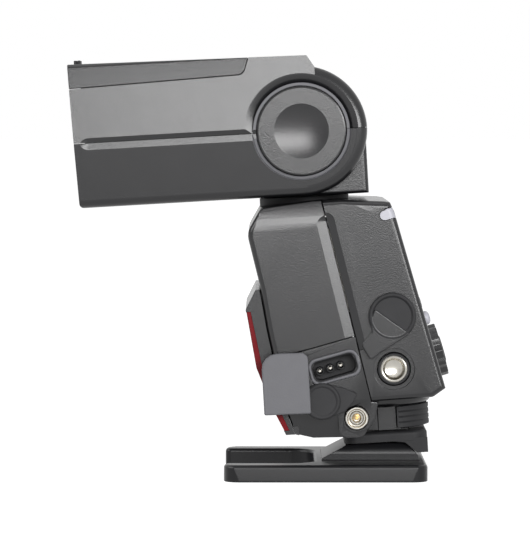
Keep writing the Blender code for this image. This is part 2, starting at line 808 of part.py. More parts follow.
def make_rear_shell(flash):
    shell = keep(body_block(), rear_region())
    cut(shell, body_hollow(), swivel_hole(), door_opening())
    through = (-WALL - WALL, WALL)
    width = 2 * (SCREEN_HALF_WIDTH + SEAM)
    holes = [
        panel_rectangle((0, SCREEN_MIDDLE), width, SCREEN_HEIGHT + 2 * SEAM, *through),
        rod((0, DIAL_HEIGHT), COLLAR_RADIUS + PLAY, *through, "X", ROUND_STEPS),
        rod((LAMP_Y, LAMP_HEIGHT), LAMP_RADIUS + PLAY, *through, "X", SMALL_STEPS),
        rod((SWITCH_Y, SWITCH_HEIGHT), SWITCH_RADIUS / 2 + PLAY, *through, "X", SMALL_STEPS),
    ]
    for centre in key_centres():
        holes.append(panel_rectangle(centre, KEY_WIDTH + 2 * PLAY, KEY_HEIGHT + 2 * PLAY, *through))
    cut(shell, *[on_panel(hole) for hole in holes])
    cut(
        shell,
        prism(strip_outline(SEAM), NEAR_FACE - PAST, BODY_HALF_WIDTH + PAST, "Y"),
        rod(BRACKET_CENTRE, BRACKET_RADIUS + SEAM, NEAR_FACE - PAST, NEAR_FACE + WALL + PAST, "Y"),
        rod(BRACKET_CENTRE, BRACKET_RADIUS + BRACKET_RECESS, NEAR_FACE - PAST, NEAR_FACE + WALL / 2, "Y"),
    )
    piece(shell, "rear_shell", BLACK_PLASTIC, flash)


def make_trim_strip(flash):
    side = BODY_HALF_WIDTH - SEAM
    strip = prism(strip_outline(0), -side, side, "Y")
    keep(strip, prism(rounded(*inset(body_corners(), HAIR)), -LARGE, LARGE, "Y"))
    piece(strip, "rear_trim_strip", PALE_PLASTIC, flash)


def along_socket(across, up=0.0):
    """A point in the frame of the tilted power socket."""
    turn = math.radians(LEVEL_TILT)
    return (
        SOCKET_CENTRE[0] + across * math.cos(turn) - up * math.sin(turn),
        SOCKET_CENTRE[1] + across * math.sin(turn) + up * math.cos(turn),
    )


def socket_outline(trim, radius):
    """The power socket's outline, drawn in by a trim on every side."""
    half = SOCKET_LENGTH / 2 - trim
    rise = SOCKET_HEIGHT / 2 - trim
    ends = ((-half, -rise), (half, -rise), (half, rise), (-half, rise))
    return rounded(*[(*along_socket(*end), radius) for end in ends])


def pin_centres():
    middle = (PIN_COUNT - 1) / 2
    return [along_socket(PIN_OFFSET + PIN_PITCH * (index - middle)) for index in range(PIN_COUNT)]


def sync_boss():
    """The flat pad that carries the sync terminal, out of the sloping side of the base."""
    x, z = SYNC_CENTRE
    pad = rounded(*[(x + across, z + up, radius) for across, up, radius in SYNC_PAD])
    return prism(pad, BASE_NEAR + SYNC_BOSS_SUNK, BASE_NEAR + SYNC_BOSS_BACK, "Y")


def make_base_housing(flash):
    housing = keep(body_block(), base_section(0))
    cut(housing, keep(body_hollow(), base_section(WALL)))
    keep(housing, base_region())
    join(housing, keep(sync_boss(), base_region()))
    behind = BASE_NEAR + SYNC_BOSS_BACK + PAST
    cut(
        housing,
        prism(socket_outline(0, SOCKET_CORNER), BASE_NEAR - PAST, BASE_NEAR + SOCKET_BACK, "Y"),
        rod(SYNC_CENTRE, SYNC_RADIUS + SEAM, BASE_NEAR - PAST, behind, "Y"),
    )
    root = BASE_NEAR + WALL / 2
    post = rod(SYNC_STRAP_ANCHOR, ANCHOR_POST_RADIUS, NEAR_FACE, root, "Y", PIN_STEPS)
    rib_x = FLAP_HINGE_X - FLAP_EDGE
    rib = box((rib_x - FLAP_RIB_WIDTH, rib_x), (FLAP_INNER + PLAY, root), FLAP_RIB)
    join(housing, post, rib)
    piece(housing, "base_housing", BLACK_PLASTIC, flash)


def make_focus_window(flash):
    """The red window on the lower front and the lamp behind it."""
    back = [(x - PLAY, z) for x, z in FRONT_LINE]
    outer = [(x - proud, z) for (x, z), proud in zip(back, WINDOW_PROUD)]
    outer[1] = (outer[1][0], outer[1][1] + WINDOW_BROW, WINDOW_BROW_RADIUS)
    window = prism(rounded(*outer, *reversed(back)), -WINDOW_HALF_WIDTH, WINDOW_HALF_WIDTH, "Y")
    inner = [(x + WINDOW_SKIN, z) for x, z, *_ in outer[1:4]]
    room = [*inner, *[(x + WINDOW_ROOM, z) for x, z in (inner[-1], inner[0])]]
    half = WINDOW_HALF_WIDTH - WINDOW_SKIN
    cut(window, prism(room, -half, half, "Y"))
    piece(window, "focus_assist_window", RED_PLASTIC, flash)
    x, z = back[1]
    lamp = box(
        (x - PLAY - FOCUS_LAMP_DEPTH, x - PLAY), (-FOCUS_LAMP_HALF_WIDTH, FOCUS_LAMP_HALF_WIDTH),
        (z - PLAY - FOCUS_LAMP_HEIGHT, z - PLAY),
    )
    piece(lamp, "focus_assist_lamp", CLEAR_PLASTIC, flash)


def make_cells(flash):
    for index in range(CELL_COUNT):
        row, column = divmod(index, CELLS_ACROSS)
        centre = (CELL_FRONT_X + CELL_PITCH * column, CELL_LOW_Z + CELL_PITCH * row)
        cell = rod(centre, CELL_RADIUS, CELL_NEAR + NUB_LENGTH, CELL_FAR, "Y")
        join(cell, rod(centre, NUB_RADIUS, CELL_NEAR, CELL_NEAR + NUB_LENGTH + PAST, "Y", PIN_STEPS))
        piece(cell, f"battery_cell_{index + 1}", GREY_RUBBER, flash)


def make_battery_door(flash):
    """The contact plates at both ends of the cells and the door that carries one of them."""
    plate_x = (CELLS_X - CONTACT_HALF, CELLS_X + CONTACT_HALF)
    plate_z = (CELLS_Z - CONTACT_HALF, CELLS_Z + CONTACT_HALF)
    near = CELL_NEAR - PLAY
    piece(
        box(plate_x, (near - CONTACT_THICKNESS, near), plate_z),
        "battery_contact_plate", STEEL, flash,
    )
    left, low = door_outline(0)[0]
    hinge = (left - DOOR_HINGE_AHEAD, BODY_HALF_WIDTH + DOOR_HINGE_OUT, low)
    inner = BODY_HALF_WIDTH - WALL + SEAM
    door = prism(door_outline(0), inner, BODY_HALF_WIDTH - HAIR, "Y")
    piece(door, "battery_door", BLACK_PLASTIC, flash, hinge)
    plate = box(plate_x, (CELL_FAR + PLAY, inner - SEAM), plate_z)
    piece(plate, "door_contact_plate", STEEL, flash, hinge)


def make_capacitor(flash):
    far = BODY_HALF_WIDTH - CAPACITOR_FROM_SIDE
    capacitor = rod(CAPACITOR_CENTRE, CAPACITOR_RADIUS, far - CAPACITOR_LENGTH, far, "Y")
    piece(capacitor, "main_capacitor", GLOSS_BLACK, flash)


def make_display(panel):
    """Screen window, display module and the board behind them, square to the rear panel."""
    middle = (0, SCREEN_MIDDLE)
    width = 2 * SCREEN_HALF_WIDTH
    screen = panel_rectangle(middle, width, SCREEN_HEIGHT, SEAM - WALL, -SCREEN_SUNK)
    piece(screen, "screen_window", CLEAR_PLASTIC, panel)
    spread = 2 * DISPLAY_MARGIN
    display = panel_rectangle(
        middle, width + spread, SCREEN_HEIGHT + spread, -DISPLAY_DEPTH, -WALL - SEAM,
    )
    piece(display, "display_module", WHITE_PLASTIC, panel)
    board_width = 2 * (BODY_HALF_WIDTH - BUSH_DEPTH - PAST)
    board = panel_rectangle(
        (0, BOARD_MIDDLE), board_width, BOARD_HEIGHT, -BOARD_DEPTH - BOARD_THICKNESS, -BOARD_DEPTH,
    )
    piece(board, "control_board", GREEN_BOARD, panel)


def make_keys(panel):
    for index, centre in enumerate(key_centres()):
        key = panel_rectangle(centre, KEY_WIDTH, KEY_HEIGHT, -WALL - PAST, KEY_PROUD, KEY_CORNER)
        lip = (KEY_WIDTH + 2 * KEY_LIP, KEY_HEIGHT + 2 * KEY_LIP_RISE)
        join(key, panel_rectangle(centre, *lip, -WALL - STEM_DEPTH, -WALL - PLAY))
        piece(key, f"function_key_{index + 1}", SOFT_RUBBER, panel, (0, *centre))


def make_dial(panel):
    """The scalloped select dial and the set button in its middle."""
    centre = (0, DIAL_HEIGHT)
    steps = DIAL_SCALLOPS * SCALLOP_STEPS
    outline = []
    for step in range(steps):
        turn = 2 * math.pi * step / steps
        radius = DIAL_RADIUS - SCALLOP_DEPTH * (1 - math.cos(DIAL_SCALLOPS * turn)) / 2
        outline.append((radius * math.cos(turn), DIAL_HEIGHT + radius * math.sin(turn)))
    dial = prism(outline, SEAM, DIAL_PROUD, "X")
    join(dial, rod(centre, COLLAR_RADIUS, -WALL - STEM_DEPTH, SEAM + PAST, "X"))
    cut(dial, rod(centre, SET_RADIUS + PLAY, -WALL - STEM_DEPTH - PAST, DIAL_PROUD + PAST, "X"))
    piece(dial, "select_dial", BLACK_PLASTIC, panel, (0, *centre))
    button = rod(centre, SET_RADIUS, -WALL - STEM_DEPTH - PLAY, DIAL_PROUD + SET_PROUD, "X")
    piece(button, "set_button", SOFT_RUBBER, panel, (0, *centre))


def make_test_button(panel):
    """The ready lamp, pressed for a test flash."""
    lip = LAMP_RADIUS + LAMP_LIP
    profile = [
        (0, -WALL - STEM_DEPTH), (lip, -WALL - STEM_DEPTH), (lip, -WALL - PLAY),
        (LAMP_RADIUS, -WALL - PLAY), (LAMP_RADIUS, LAMP_PROUD - LAMP_DOME),
        (LAMP_TOP_RADIUS, LAMP_PROUD - LAMP_TOP_DROP), (0, LAMP_PROUD),
    ]
    place = (0, LAMP_Y, LAMP_HEIGHT)
    piece(turned(profile, place, "X", SMALL_STEPS), "test_button", WHITE_PLASTIC, panel, place)


def make_power_switch(panel):
    centre = (SWITCH_Y, SWITCH_HEIGHT)
    switch = rod(centre, SWITCH_RADIUS, SEAM, SWITCH_PROUD, "X")
    grip = 2 * (SWITCH_RADIUS - GRIP_INSET)
    join(
        switch,
        rod(centre, SWITCH_RADIUS / 2, -WALL - STEM_DEPTH, SEAM + PAST / 2, "X", SMALL_STEPS),
        panel_rectangle(centre, grip, GRIP_WIDTH, SWITCH_PROUD / 2, GRIP_PROUD, GRIP_CORNER),
    )
    piece(switch, "power_switch", BLACK_PLASTIC, panel, (0, *centre))


def make_power_socket(flash):
    """The insert in the near side, and its three pins on their plate."""
    front = BASE_NEAR + PLAY
    insert = prism(socket_outline(SEAM, SOCKET_CORNER - SEAM), front, BASE_NEAR + SOCKET_BACK, "Y")
    inner = socket_outline(SOCKET_WALL, SOCKET_CORNER - SOCKET_WALL / 2)
    cut(insert, prism(inner, BASE_NEAR - PAST, BASE_NEAR + SOCKET_DEPTH, "Y"))
    behind = BASE_NEAR + SOCKET_BACK + PAST
    cut(insert, *[
        rod(centre, PIN_RADIUS + SEAM, BASE_NEAR, behind, "Y", PIN_STEPS) for centre in pin_centres()
    ])
    piece(insert, "power_socket", GLOSS_BLACK, flash)
    plate_front = BASE_NEAR + SOCKET_BACK + PLAY
    plate_back = plate_front + PIN_PLATE_THICKNESS
    pins = prism(socket_outline(PIN_PLATE_INSET, 0), plate_front, plate_back, "Y")
    join(pins, *[
        rod(centre, PIN_RADIUS, BASE_NEAR + PIN_SUNK, plate_front + PIN_PLATE_THICKNESS / 2, "Y", PIN_STEPS)
        for centre in pin_centres()
    ])
    piece(pins, "socket_pins", STEEL, flash)


def make_sync_terminal(flash):
    face = BASE_NEAR + SYNC_BOSS_SUNK
    outer = SYNC_RADIUS
    bore = outer - SYNC_WALL
    profile = [
        (SYNC_PIN_ROOM, face + SYNC_BACK), (outer, face + SYNC_BACK), (outer, face - SYNC_PROUD + SYNC_LIP),
        (outer - SYNC_LIP, face - SYNC_PROUD), (bore + SYNC_LIP / 2, face - SYNC_PROUD),
        (bore, face + SYNC_FLOOR), (SYNC_PIN_ROOM, face + SYNC_FLOOR), (SYNC_PIN_ROOM, face + SYNC_BACK),
    ]
    terminal = turned(profile, (SYNC_CENTRE[0], 0, SYNC_CENTRE[1]), "Y", MEDIUM_STEPS)
    piece(terminal, "sync_terminal", STEEL, flash)
    pin = rod(SYNC_CENTRE, SYNC_PIN_RADIUS, face - SYNC_PIN_RADIUS, face + SYNC_BACK, "Y", PIN_STEPS)
    piece(pin, "sync_pin", BRASS, flash)


def make_bracket_bush(flash):
    """The threaded bush for a side bracket, a blind metal cup."""
    face = NEAR_FACE + BUSH_SUNK
    back = NEAR_FACE + BUSH_DEPTH
    mouth = BRACKET_THREAD_RADIUS + BUSH_CHAMFER
    profile = [
        (0, back), (BRACKET_RADIUS, back), (BRACKET_RADIUS, face + SEAM),
        (BRACKET_RADIUS - SEAM, face), (mouth, face), (BRACKET_THREAD_RADIUS, face + BUSH_CHAMFER),
        (BRACKET_THREAD_RADIUS, back - BUSH_FLOOR), (0, back - BUSH_FLOOR / 2),
    ]
    bush = turned(profile, (BRACKET_CENTRE[0], 0, BRACKET_CENTRE[1]), "Y", MEDIUM_STEPS)
    piece(bush, "bracket_bush", STEEL, flash)


def strap(start, end, half_width):
    """A flat strap's outline between two points."""
    run = unit_towards(start, end)
    side = (-run[1] * half_width, run[0] * half_width)
    return [
        (start[0] + side[0], start[1] + side[1]), (start[0] - side[0], start[1] - side[1]),
        (end[0] - side[0], end[1] - side[1]), (end[0] + side[0], end[1] + side[1]),
    ]


def make_caps(flash):
    """The round rubber covers, which swing about the ends of their straps."""
    caps = (
        ("sync_cap", SYNC_CAP_CENTRE, SYNC_CAP_RADIUS, SYNC_STRAP_ANCHOR),
        ("bracket_cap", BRACKET_CAP_CENTRE, BRACKET_CAP_RADIUS, BRACKET_STRAP_ANCHOR),
    )
    for name, centre, radius, anchor in caps:
        cap = rod(centre, radius, CAP_OUTER, CAP_INNER, "Y", ROUND_STEPS)
        join(
            cap,
            prism(strap(anchor, centre, STRAP_HALF_WIDTH), CAP_OUTER + STRAP_SUNK, CAP_INNER - SEAM / 2, "Y"),
            rod(anchor, ANCHOR_RADIUS, CAP_OUTER + SEAM, CAP_INNER - HAIR, "Y", SMALL_STEPS),
        )
        cut(cap, rod(centre, radius - CAP_LIP, CAP_OUTER - PAST, CAP_OUTER + CAP_DISH, "Y", ROUND_STEPS))
        piece(cap, name, SOFT_RUBBER, flash, (anchor[0], CAP_INNER, anchor[1]))


def make_flap(flash):
    """The flap that folds over the power socket, lying open over the sync terminal's cap."""
    hinge = FLAP_HINGE_X - PLAY
    end = hinge - FLAP_LENGTH
    outline = rounded(
        (hinge, FLAP_LOW, FLAP_EDGE), (hinge, FLAP_HIGH - FLAP_HINGE_CORNER, FLAP_HINGE_CORNER),
        (hinge - FLAP_HINGE_CORNER, FLAP_HIGH - SEAM, FLAP_EDGE), (end, FLAP_HIGH, FLAP_CORNER),
        (end, FLAP_LOW + SEAM, FLAP_EDGE),
    )
    flap = prism(outline, FLAP_OUTER, FLAP_INNER, "Y")
    pivot = (FLAP_HINGE_X, FLAP_OUTER - FLAP_PIVOT_OUT, FLAP_LOW)
    piece(flap, "socket_flap", GREY_RUBBER, flash, pivot)


def lock_pin_hole(gap, low, high):
    return rod((LOCK_PIN_X, 0), LOCK_PIN_RADIUS + gap, low, high, "Z", PIN_STEPS)


def make_foot_block(flash):
    """The block under the body: a half disc over a flat block, with room for lever and pin."""
    front, rear = FOOT_BLOCK_X
    low = SKIRT_TOP + SEAM
    block = rod((0, 0), FOOT_DISC_RADIUS, FOOT_BLOCK_TOP, FOOT_TOP, "Z", ROUND_STEPS)
    cut(block, box((-LARGE, front), (-LARGE, LARGE), (-LARGE, LARGE)))
    tab_x = [FOOT_DISC_RADIUS - step for step in FOOT_TAB]
    half = FOOT_BLOCK_HALF_WIDTH
    join(
        block,
        box((front + SEAM, rear), (-half, half), (low, FOOT_BLOCK_TOP + PLAY)),
        box(
            (-FOOT_CORE_LENGTH, FOOT_CORE_LENGTH), (-FOOT_CORE_WIDTH, FOOT_CORE_WIDTH),
            (FOOT_PLATE_TOP + SEAM, low + SEAM),
        ),
        box(
            tab_x, (-FOOT_TAB_HALF_WIDTH, FOOT_TAB_HALF_WIDTH),
            (FOOT_BLOCK_TOP - FOOT_TAB_DROP, FOOT_BLOCK_TOP + PAST),
        ),
    )
    cut(
        block,
        box(
            (rear - TONGUE_LENGTH - PLAY, rear + PAST),
            (TONGUE_Y[0] - PLAY, TONGUE_Y[1] + LEVER_TRAVEL + PLAY),
            (TONGUE_Z[0] - PLAY, TONGUE_Z[1] + PLAY),
        ),
        lock_pin_hole(PLAY, FOOT_PLATE_TOP - PAST, SKIRT_TOP + LOCK_PIN_HEAD + LOCK_PIN_REACH),
    )
    piece(block, "foot_block", BLACK_PLASTIC, flash)


def make_lock(flash):
    """The ribbed lever that slides across the foot and the pin that it lifts."""
    rear = FOOT_BLOCK_X[1]
    front = rear + PLAY
    low = SKIRT_TOP + 2 * PLAY
    high = FOOT_BLOCK_TOP - LEVER_GAP
    lever = prism(rounded(
        (front, LEVER_Y[0]), (LEVER_REAR[0], LEVER_Y[0], LEVER_CORNER),
        (LEVER_REAR[1], LEVER_BEND_Y, LEVER_CORNER), (LEVER_REAR[1], LEVER_Y[1]), (front, LEVER_Y[1]),
    ), low, high, "Z")
    join(lever, box((rear - TONGUE_LENGTH, front + PAST), TONGUE_Y, TONGUE_Z))
    pitch = (high - low) / (LEVER_RIBS + 1)
    for index in range(LEVER_RIBS):
        middle = low + pitch * (index + 1)
        groove = (middle - RIB_GROOVE / 2, middle + RIB_GROOVE / 2)
        cut(lever, box((RIB_X, LARGE), (-LARGE, LARGE), groove))
    piece(lever, "lock_lever", SOFT_RUBBER, flash, (rear, TONGUE_Y[0], TONGUE_Z[0]))
    pin = lock_pin_hole(0, -LOCK_PIN_REACH, FOOT_PLATE_TOP + LOCK_PIN_HEAD)
    piece(pin, "lock_pin", STEEL, flash, (LOCK_PIN_X, 0, 0))


def make_shoe_plate(flash):
    """The metal foot plate with its sprung contacts on their carrier."""
    above = FOOT_PLATE_TOP + PAST
    plate = box(
        (-FOOT_HALF_LENGTH, FOOT_HALF_LENGTH), (-FOOT_HALF_WIDTH, FOOT_HALF_WIDTH), (0, FOOT_FLANGE),
    )
    join(plate, box(
        (-FOOT_CORE_LENGTH, FOOT_CORE_LENGTH), (-FOOT_NECK_HALF, FOOT_NECK_HALF),
        (FOOT_FLANGE / 2, FOOT_PLATE_TOP),
    ))
    room = [(low - PLAY, high + PLAY) for low, high in CONTACT_BOARD]
    cut(
        plate,
        *[rod(spot, CONTACT_HOLE, -PAST, above, "Z", PIN_STEPS) for spot in CONTACT_SPOTS],
        box(*room, (CONTACT_BOARD_LOW - SEAM, above)),
        lock_pin_hole(SEAM, -PAST, above),
    )
    piece(plate, "foot_plate", STEEL, flash)
    contacts = box(*CONTACT_BOARD, (CONTACT_BOARD_LOW, FOOT_PLATE_TOP - SEAM))
    join(contacts, *[
        rod(spot, CONTACT_RADIUS, CONTACT_SUNK, CONTACT_BOARD_LOW + PLAY, "Z", PIN_STEPS)
        for spot in CONTACT_SPOTS
    ])
    piece(contacts, "foot_contacts", BRASS, flash)


def make_weather_skirt(flash):
    """The rubber skirt round the foot, with an apron down the back of the shoe."""
    outline = rectangle(
        (SHOE_FRONT - SKIRT_AHEAD, -SKIRT_HALF_WIDTH), (SHOE_REAR + SKIRT_BEHIND, SKIRT_HALF_WIDTH),
        SKIRT_CORNER,
    )
    skirt = prism(outline, SKIRT_BOTTOM - APRON_DROP, SKIRT_TOP, "Z")
    length = FOOT_CORE_LENGTH + PLAY
    width = FOOT_CORE_WIDTH + PLAY
    cut(
        skirt,
        box((-LARGE, SHOE_REAR + PAST), (-LARGE, LARGE), (-LARGE, SKIRT_BOTTOM)),
        box((-length, length), (-width, width), (-LARGE, LARGE)),
    )
    piece(skirt, "weather_skirt", SOFT_RUBBER, flash)


def make_neck(turret):
    """The turning neck between body and head, in the frame of the hinge."""
    over = [math.pi * (1 - step / NECK_STEPS) for step in range(NECK_STEPS + 1)]
    outline = [(NECK_RADIUS * math.cos(t), NECK_RADIUS * math.sin(t)) for t in over]
    outline += [(NECK_RADIUS, NECK_BOTTOM), (-NECK_FRONT, NECK_BOTTOM)]
    steps = NECK_STEPS // 4
    under = [math.acos(NECK_FRONT / NECK_RADIUS) * step / steps for step in range(steps, 0, -1)]
    outline += [(-NECK_RADIUS * math.cos(t), -NECK_RADIUS * math.sin(t)) for t in under]
    neck = prism(outline, -NECK_HALF_WIDTH, NECK_HALF_WIDTH, "Y")
    join(neck, rod((0, 0), JOURNAL_RADIUS, JOURNAL_FOOT, NECK_BOTTOM + PAST, "Z", ROUND_STEPS))
    cut(
        neck,
        rod((0, 0), CABLE_RADIUS, JOURNAL_FOOT - PAST, -AXLE_RADIUS - WALL - PAST, "Z"),
        rod((0, 0), AXLE_RADIUS + SEAM, -LARGE, LARGE, "Y"),
    )
    piece(neck, "neck", BLACK_PLASTIC, turret)
    reach = EAR_INNER + AXLE_BITE - SEAM
    piece(rod((0, 0), AXLE_RADIUS, -reach, reach, "Y"), "tilt_axle", STEEL, turret)
    inner = JOURNAL_RADIUS + SEAM
    ring = tube((0, 0), inner, inner + RING_WIDTH, JOURNAL_FOOT, JOURNAL_FOOT + RING_THICKNESS, "Z")
    piece(ring, "swivel_ring", STEEL, turret)


def make_swivel_washer(flash):
    low = BODY_TOP + PLAY
    inner = JOURNAL_RADIUS + PLAY
    washer = tube((HINGE_X, 0), inner, inner + WASHER_WIDTH, low, low + WASHER_THICKNESS, "Z")
    piece(washer, "swivel_washer", SOFT_RUBBER, flash)


def head_section():
    """The head seen from the front, widest at the seam between its halves, as a long block."""
    slim = HEAD_HALF_WIDTH - HEAD_DRAFT
    edge = HEAD_EDGE_RADIUS
    outline = rounded(
        (-slim, HEAD_BOTTOM, edge), (slim, HEAD_BOTTOM, edge), (HEAD_HALF_WIDTH, 0),
        (slim, HEAD_TOP, edge), (-slim, HEAD_TOP, edge), (-HEAD_HALF_WIDTH, 0),
    )
    return prism(outline, -LARGE, LARGE, "X")


def front_x(z):
    """The raked front of the head."""
    share = (HEAD_TOP - z) / (HEAD_TOP - HEAD_BOTTOM)
    return HEAD_FRONT + FRONT_RAKE * share


def hub(side):
    """One of the two round cheeks that hold the tilt axle; side is -1 near, 1 far."""
    profile = [(0, EAR_INNER - HUB_ROOT), (HUB_RADIUS, EAR_INNER - HUB_ROOT)]
    for share, height in reversed(HUB_RIM):
        profile.append((BUTTON_RADIUS + RIM_WIDTH * share, HUB_FACE + height))
    profile.append((0, HUB_FACE + HUB_RIM[0][1]))
    return turned([(radius, side * height) for radius, height in profile], (0, 0, 0), "Y")


def head_cutters():
    """What both halves of the head leave out: the neck's room, the lens window and the hub pockets."""
    window = HEAD_HALF_WIDTH - LENS_BEZEL
    axle_end = EAR_INNER + AXLE_BITE
    return [
        rod((0, 0), NECK_ROOM, -EAR_INNER, EAR_INNER, "Y", ROUND_STEPS),
        box((0, LARGE), (-EAR_INNER, EAR_INNER), (-LARGE, NECK_ROOM)),
        box((-NECK_ROOM + WALL + PAST, LARGE), (-EAR_INNER, EAR_INNER), (-LARGE, SEAM)),
        box(
            (-LARGE, CAVITY_FRONT + PAST), (-window, window),
            (CAVITY_FLOOR + LENS_FRAME, CAVITY_ROOF - LENS_FRAME),
        ),
        rod((0, 0), POCKET_RADIUS, -HUB_FACE - PAST, -POCKET_FLOOR, "Y", ROUND_STEPS),
        rod((0, 0), POCKET_RADIUS, CAP_FLOOR - PLAY, HUB_FACE + PAST, "Y", ROUND_STEPS),
        rod((0, 0), AXLE_RADIUS + SEAM, -axle_end, axle_end, "Y"),
    ]


def make_head_upper(head):
    line = COVER_LINE
    upper = prism(rounded(
        (front_x(-PAST), -PAST), (front_x(line), line), (COVER_END, line + COVER_RISE, COVER_CORNER),
        (COVER_END + COVER_LEAN, HEAD_TOP - COVER_DROP),
        *[(x, HEAD_TOP - drop) for x, drop in REAR_LIP], (REAR_LIP[-1][0], -PAST),
    ), -LARGE, LARGE, "Y")
    keep(upper, head_section())
    join(upper, hub(-1), hub(1))
    cavity = box((CAVITY_FRONT, BULKHEAD), (-CAVITY_HALF, CAVITY_HALF), (-PAST, CAVITY_ROOF))
    cut(upper, cavity, *head_cutters())
    cut(upper, box((-LARGE, LARGE), (-LARGE, LARGE), (-LARGE, SEAM / 2)))
    piece(upper, "head_upper_shell", BLACK_PLASTIC, head)


def make_head_lower(head):
    """The lower shell with the posts that hold the zoom guides."""
    lower = prism(rounded(
        (front_x(PAST), PAST), (front_x(HEAD_BOTTOM), HEAD_BOTTOM, HEAD_LIP_RADIUS),
        (0, HEAD_BOTTOM), (0, PAST),
    ), -LARGE, LARGE, "Y")
    keep(lower, head_section())
    join(lower, hub(-1), hub(1))
    cavity = box((CAVITY_FRONT, BULKHEAD), (-CAVITY_HALF, CAVITY_HALF), (CAVITY_FLOOR, PAST))
    cut(lower, cavity, *head_cutters())
    cut(lower, box((-LARGE, LARGE), (-LARGE, LARGE), (-SEAM / 2, LARGE)))
    post_top = GUIDE_Z + GUIDE_RADIUS + SEAM + PLAY
    for x in (GUIDE_ENDS[0], GUIDE_ENDS[1] - POST_LENGTH):
        for y in (-GUIDE_Y, GUIDE_Y):
            post = box(
                (x, x + POST_LENGTH), (y - POST_HALF_WIDTH, y + POST_HALF_WIDTH),
                (CAVITY_FLOOR - WALL / 2, post_top),
            )
            hole = rod((y, GUIDE_Z), GUIDE_RADIUS + SEAM, x - PAST, x + POST_LENGTH + PAST, "X", PIN_STEPS)
            join(lower, cut(post, hole))
    piece(lower, "head_lower_shell", BLACK_PLASTIC, head)


def make_top_cover(head):
    """The cover over the pull-out panels, with a slot for their tab."""
    line = COVER_LINE + SEAM
    end = COVER_END - SEAM
    cover = prism(rounded(
        (front_x(line), line), (end, line + COVER_RISE, COVER_CORNER),
        (end + COVER_LEAN, HEAD_TOP - COVER_DROP), (HEAD_FRONT, HEAD_TOP),
    ), -LARGE, LARGE, "Y")
    keep(cover, head_section())
    half = CAVITY_HALF - SEAM
    slot = TAB_HALF_WIDTH + PLAY
    cut(
        cover,
        box((-LARGE, COVER_END - WALL), (-half, half), (0, PANEL_ROOF)),
        box((-LARGE, HEAD_FRONT + TAB_DEPTH[1] + PLAY), (-slot, slot), (PANEL_ROOF - PAST, LARGE)),
    )
    piece(cover, "head_top_cover", BLACK_PLASTIC, head)


def make_lens(head):
    half = CAVITY_HALF - PLAY
    lens = box((LENS_FRONT, LENS_BACK), (-half, half), (CAVITY_FLOOR + PLAY, CAVITY_ROOF - PLAY))
    piece(lens, "front_lens", CLEAR_PLASTIC, head)


def make_hub_cap(head):
    """The plain cap in the far hub."""
    face = HUB_FACE - BUTTON_SUNK
    profile = [
        (0, CAP_FLOOR), (BUTTON_RADIUS, CAP_FLOOR), (BUTTON_RADIUS, face - PLAY),
        (BUTTON_RADIUS - PLAY, face), (0, face),
    ]
    piece(turned(profile, (0, 0, 0), "Y"), "hub_cap", BLACK_PLASTIC, head)


def make_tilt_button(head):
    """The lock button in the near hub: a cup with a finger dimple, pressed to free the head."""
    face = BUTTON_SUNK - HUB_FACE
    inner = BUTTON_RADIUS - BUTTON_WALL
    shares = [step / DIMPLE_STEPS for step in range(DIMPLE_STEPS + 1)]
    profile = [(DIMPLE_RADIUS * share, face + DIMPLE_DEPTH * (1 - share * share)) for share in shares]
    profile += [
        (BUTTON_RADIUS - PLAY, face), (BUTTON_RADIUS, face + PLAY), (BUTTON_RADIUS, face + BUTTON_SKIRT),
        (inner, face + BUTTON_SKIRT), (inner, face + BUTTON_FACE), (0, face + BUTTON_FACE),
    ]
    piece(turned(profile, (0, 0, 0), "Y"), "tilt_button", BLACK_PLASTIC, head, (0, face, 0))


def make_zoom_drive(head):
    """The fixed guide rods and motor, and the lead screw that it turns."""
    for y, name in ((-GUIDE_Y, "near"), (GUIDE_Y, "far")):
        guide = rod((y, GUIDE_Z), GUIDE_RADIUS, *GUIDE_ENDS, "X", PIN_STEPS)
        piece(guide, f"zoom_guide_{name}", STEEL, head)
    motor = rod((0, SCREW_Z), MOTOR_RADIUS, MOTOR_FRONT, MOTOR_REAR, "X")
    piece(motor, "zoom_motor", STEEL, head)
    screw = rod((0, SCREW_Z), GUIDE_RADIUS, GUIDE_ENDS[0], MOTOR_FRONT - SEAM, "X", PIN_STEPS)
    piece(screw, "zoom_screw", STEEL, head, (MOTOR_FRONT, 0, SCREW_Z))


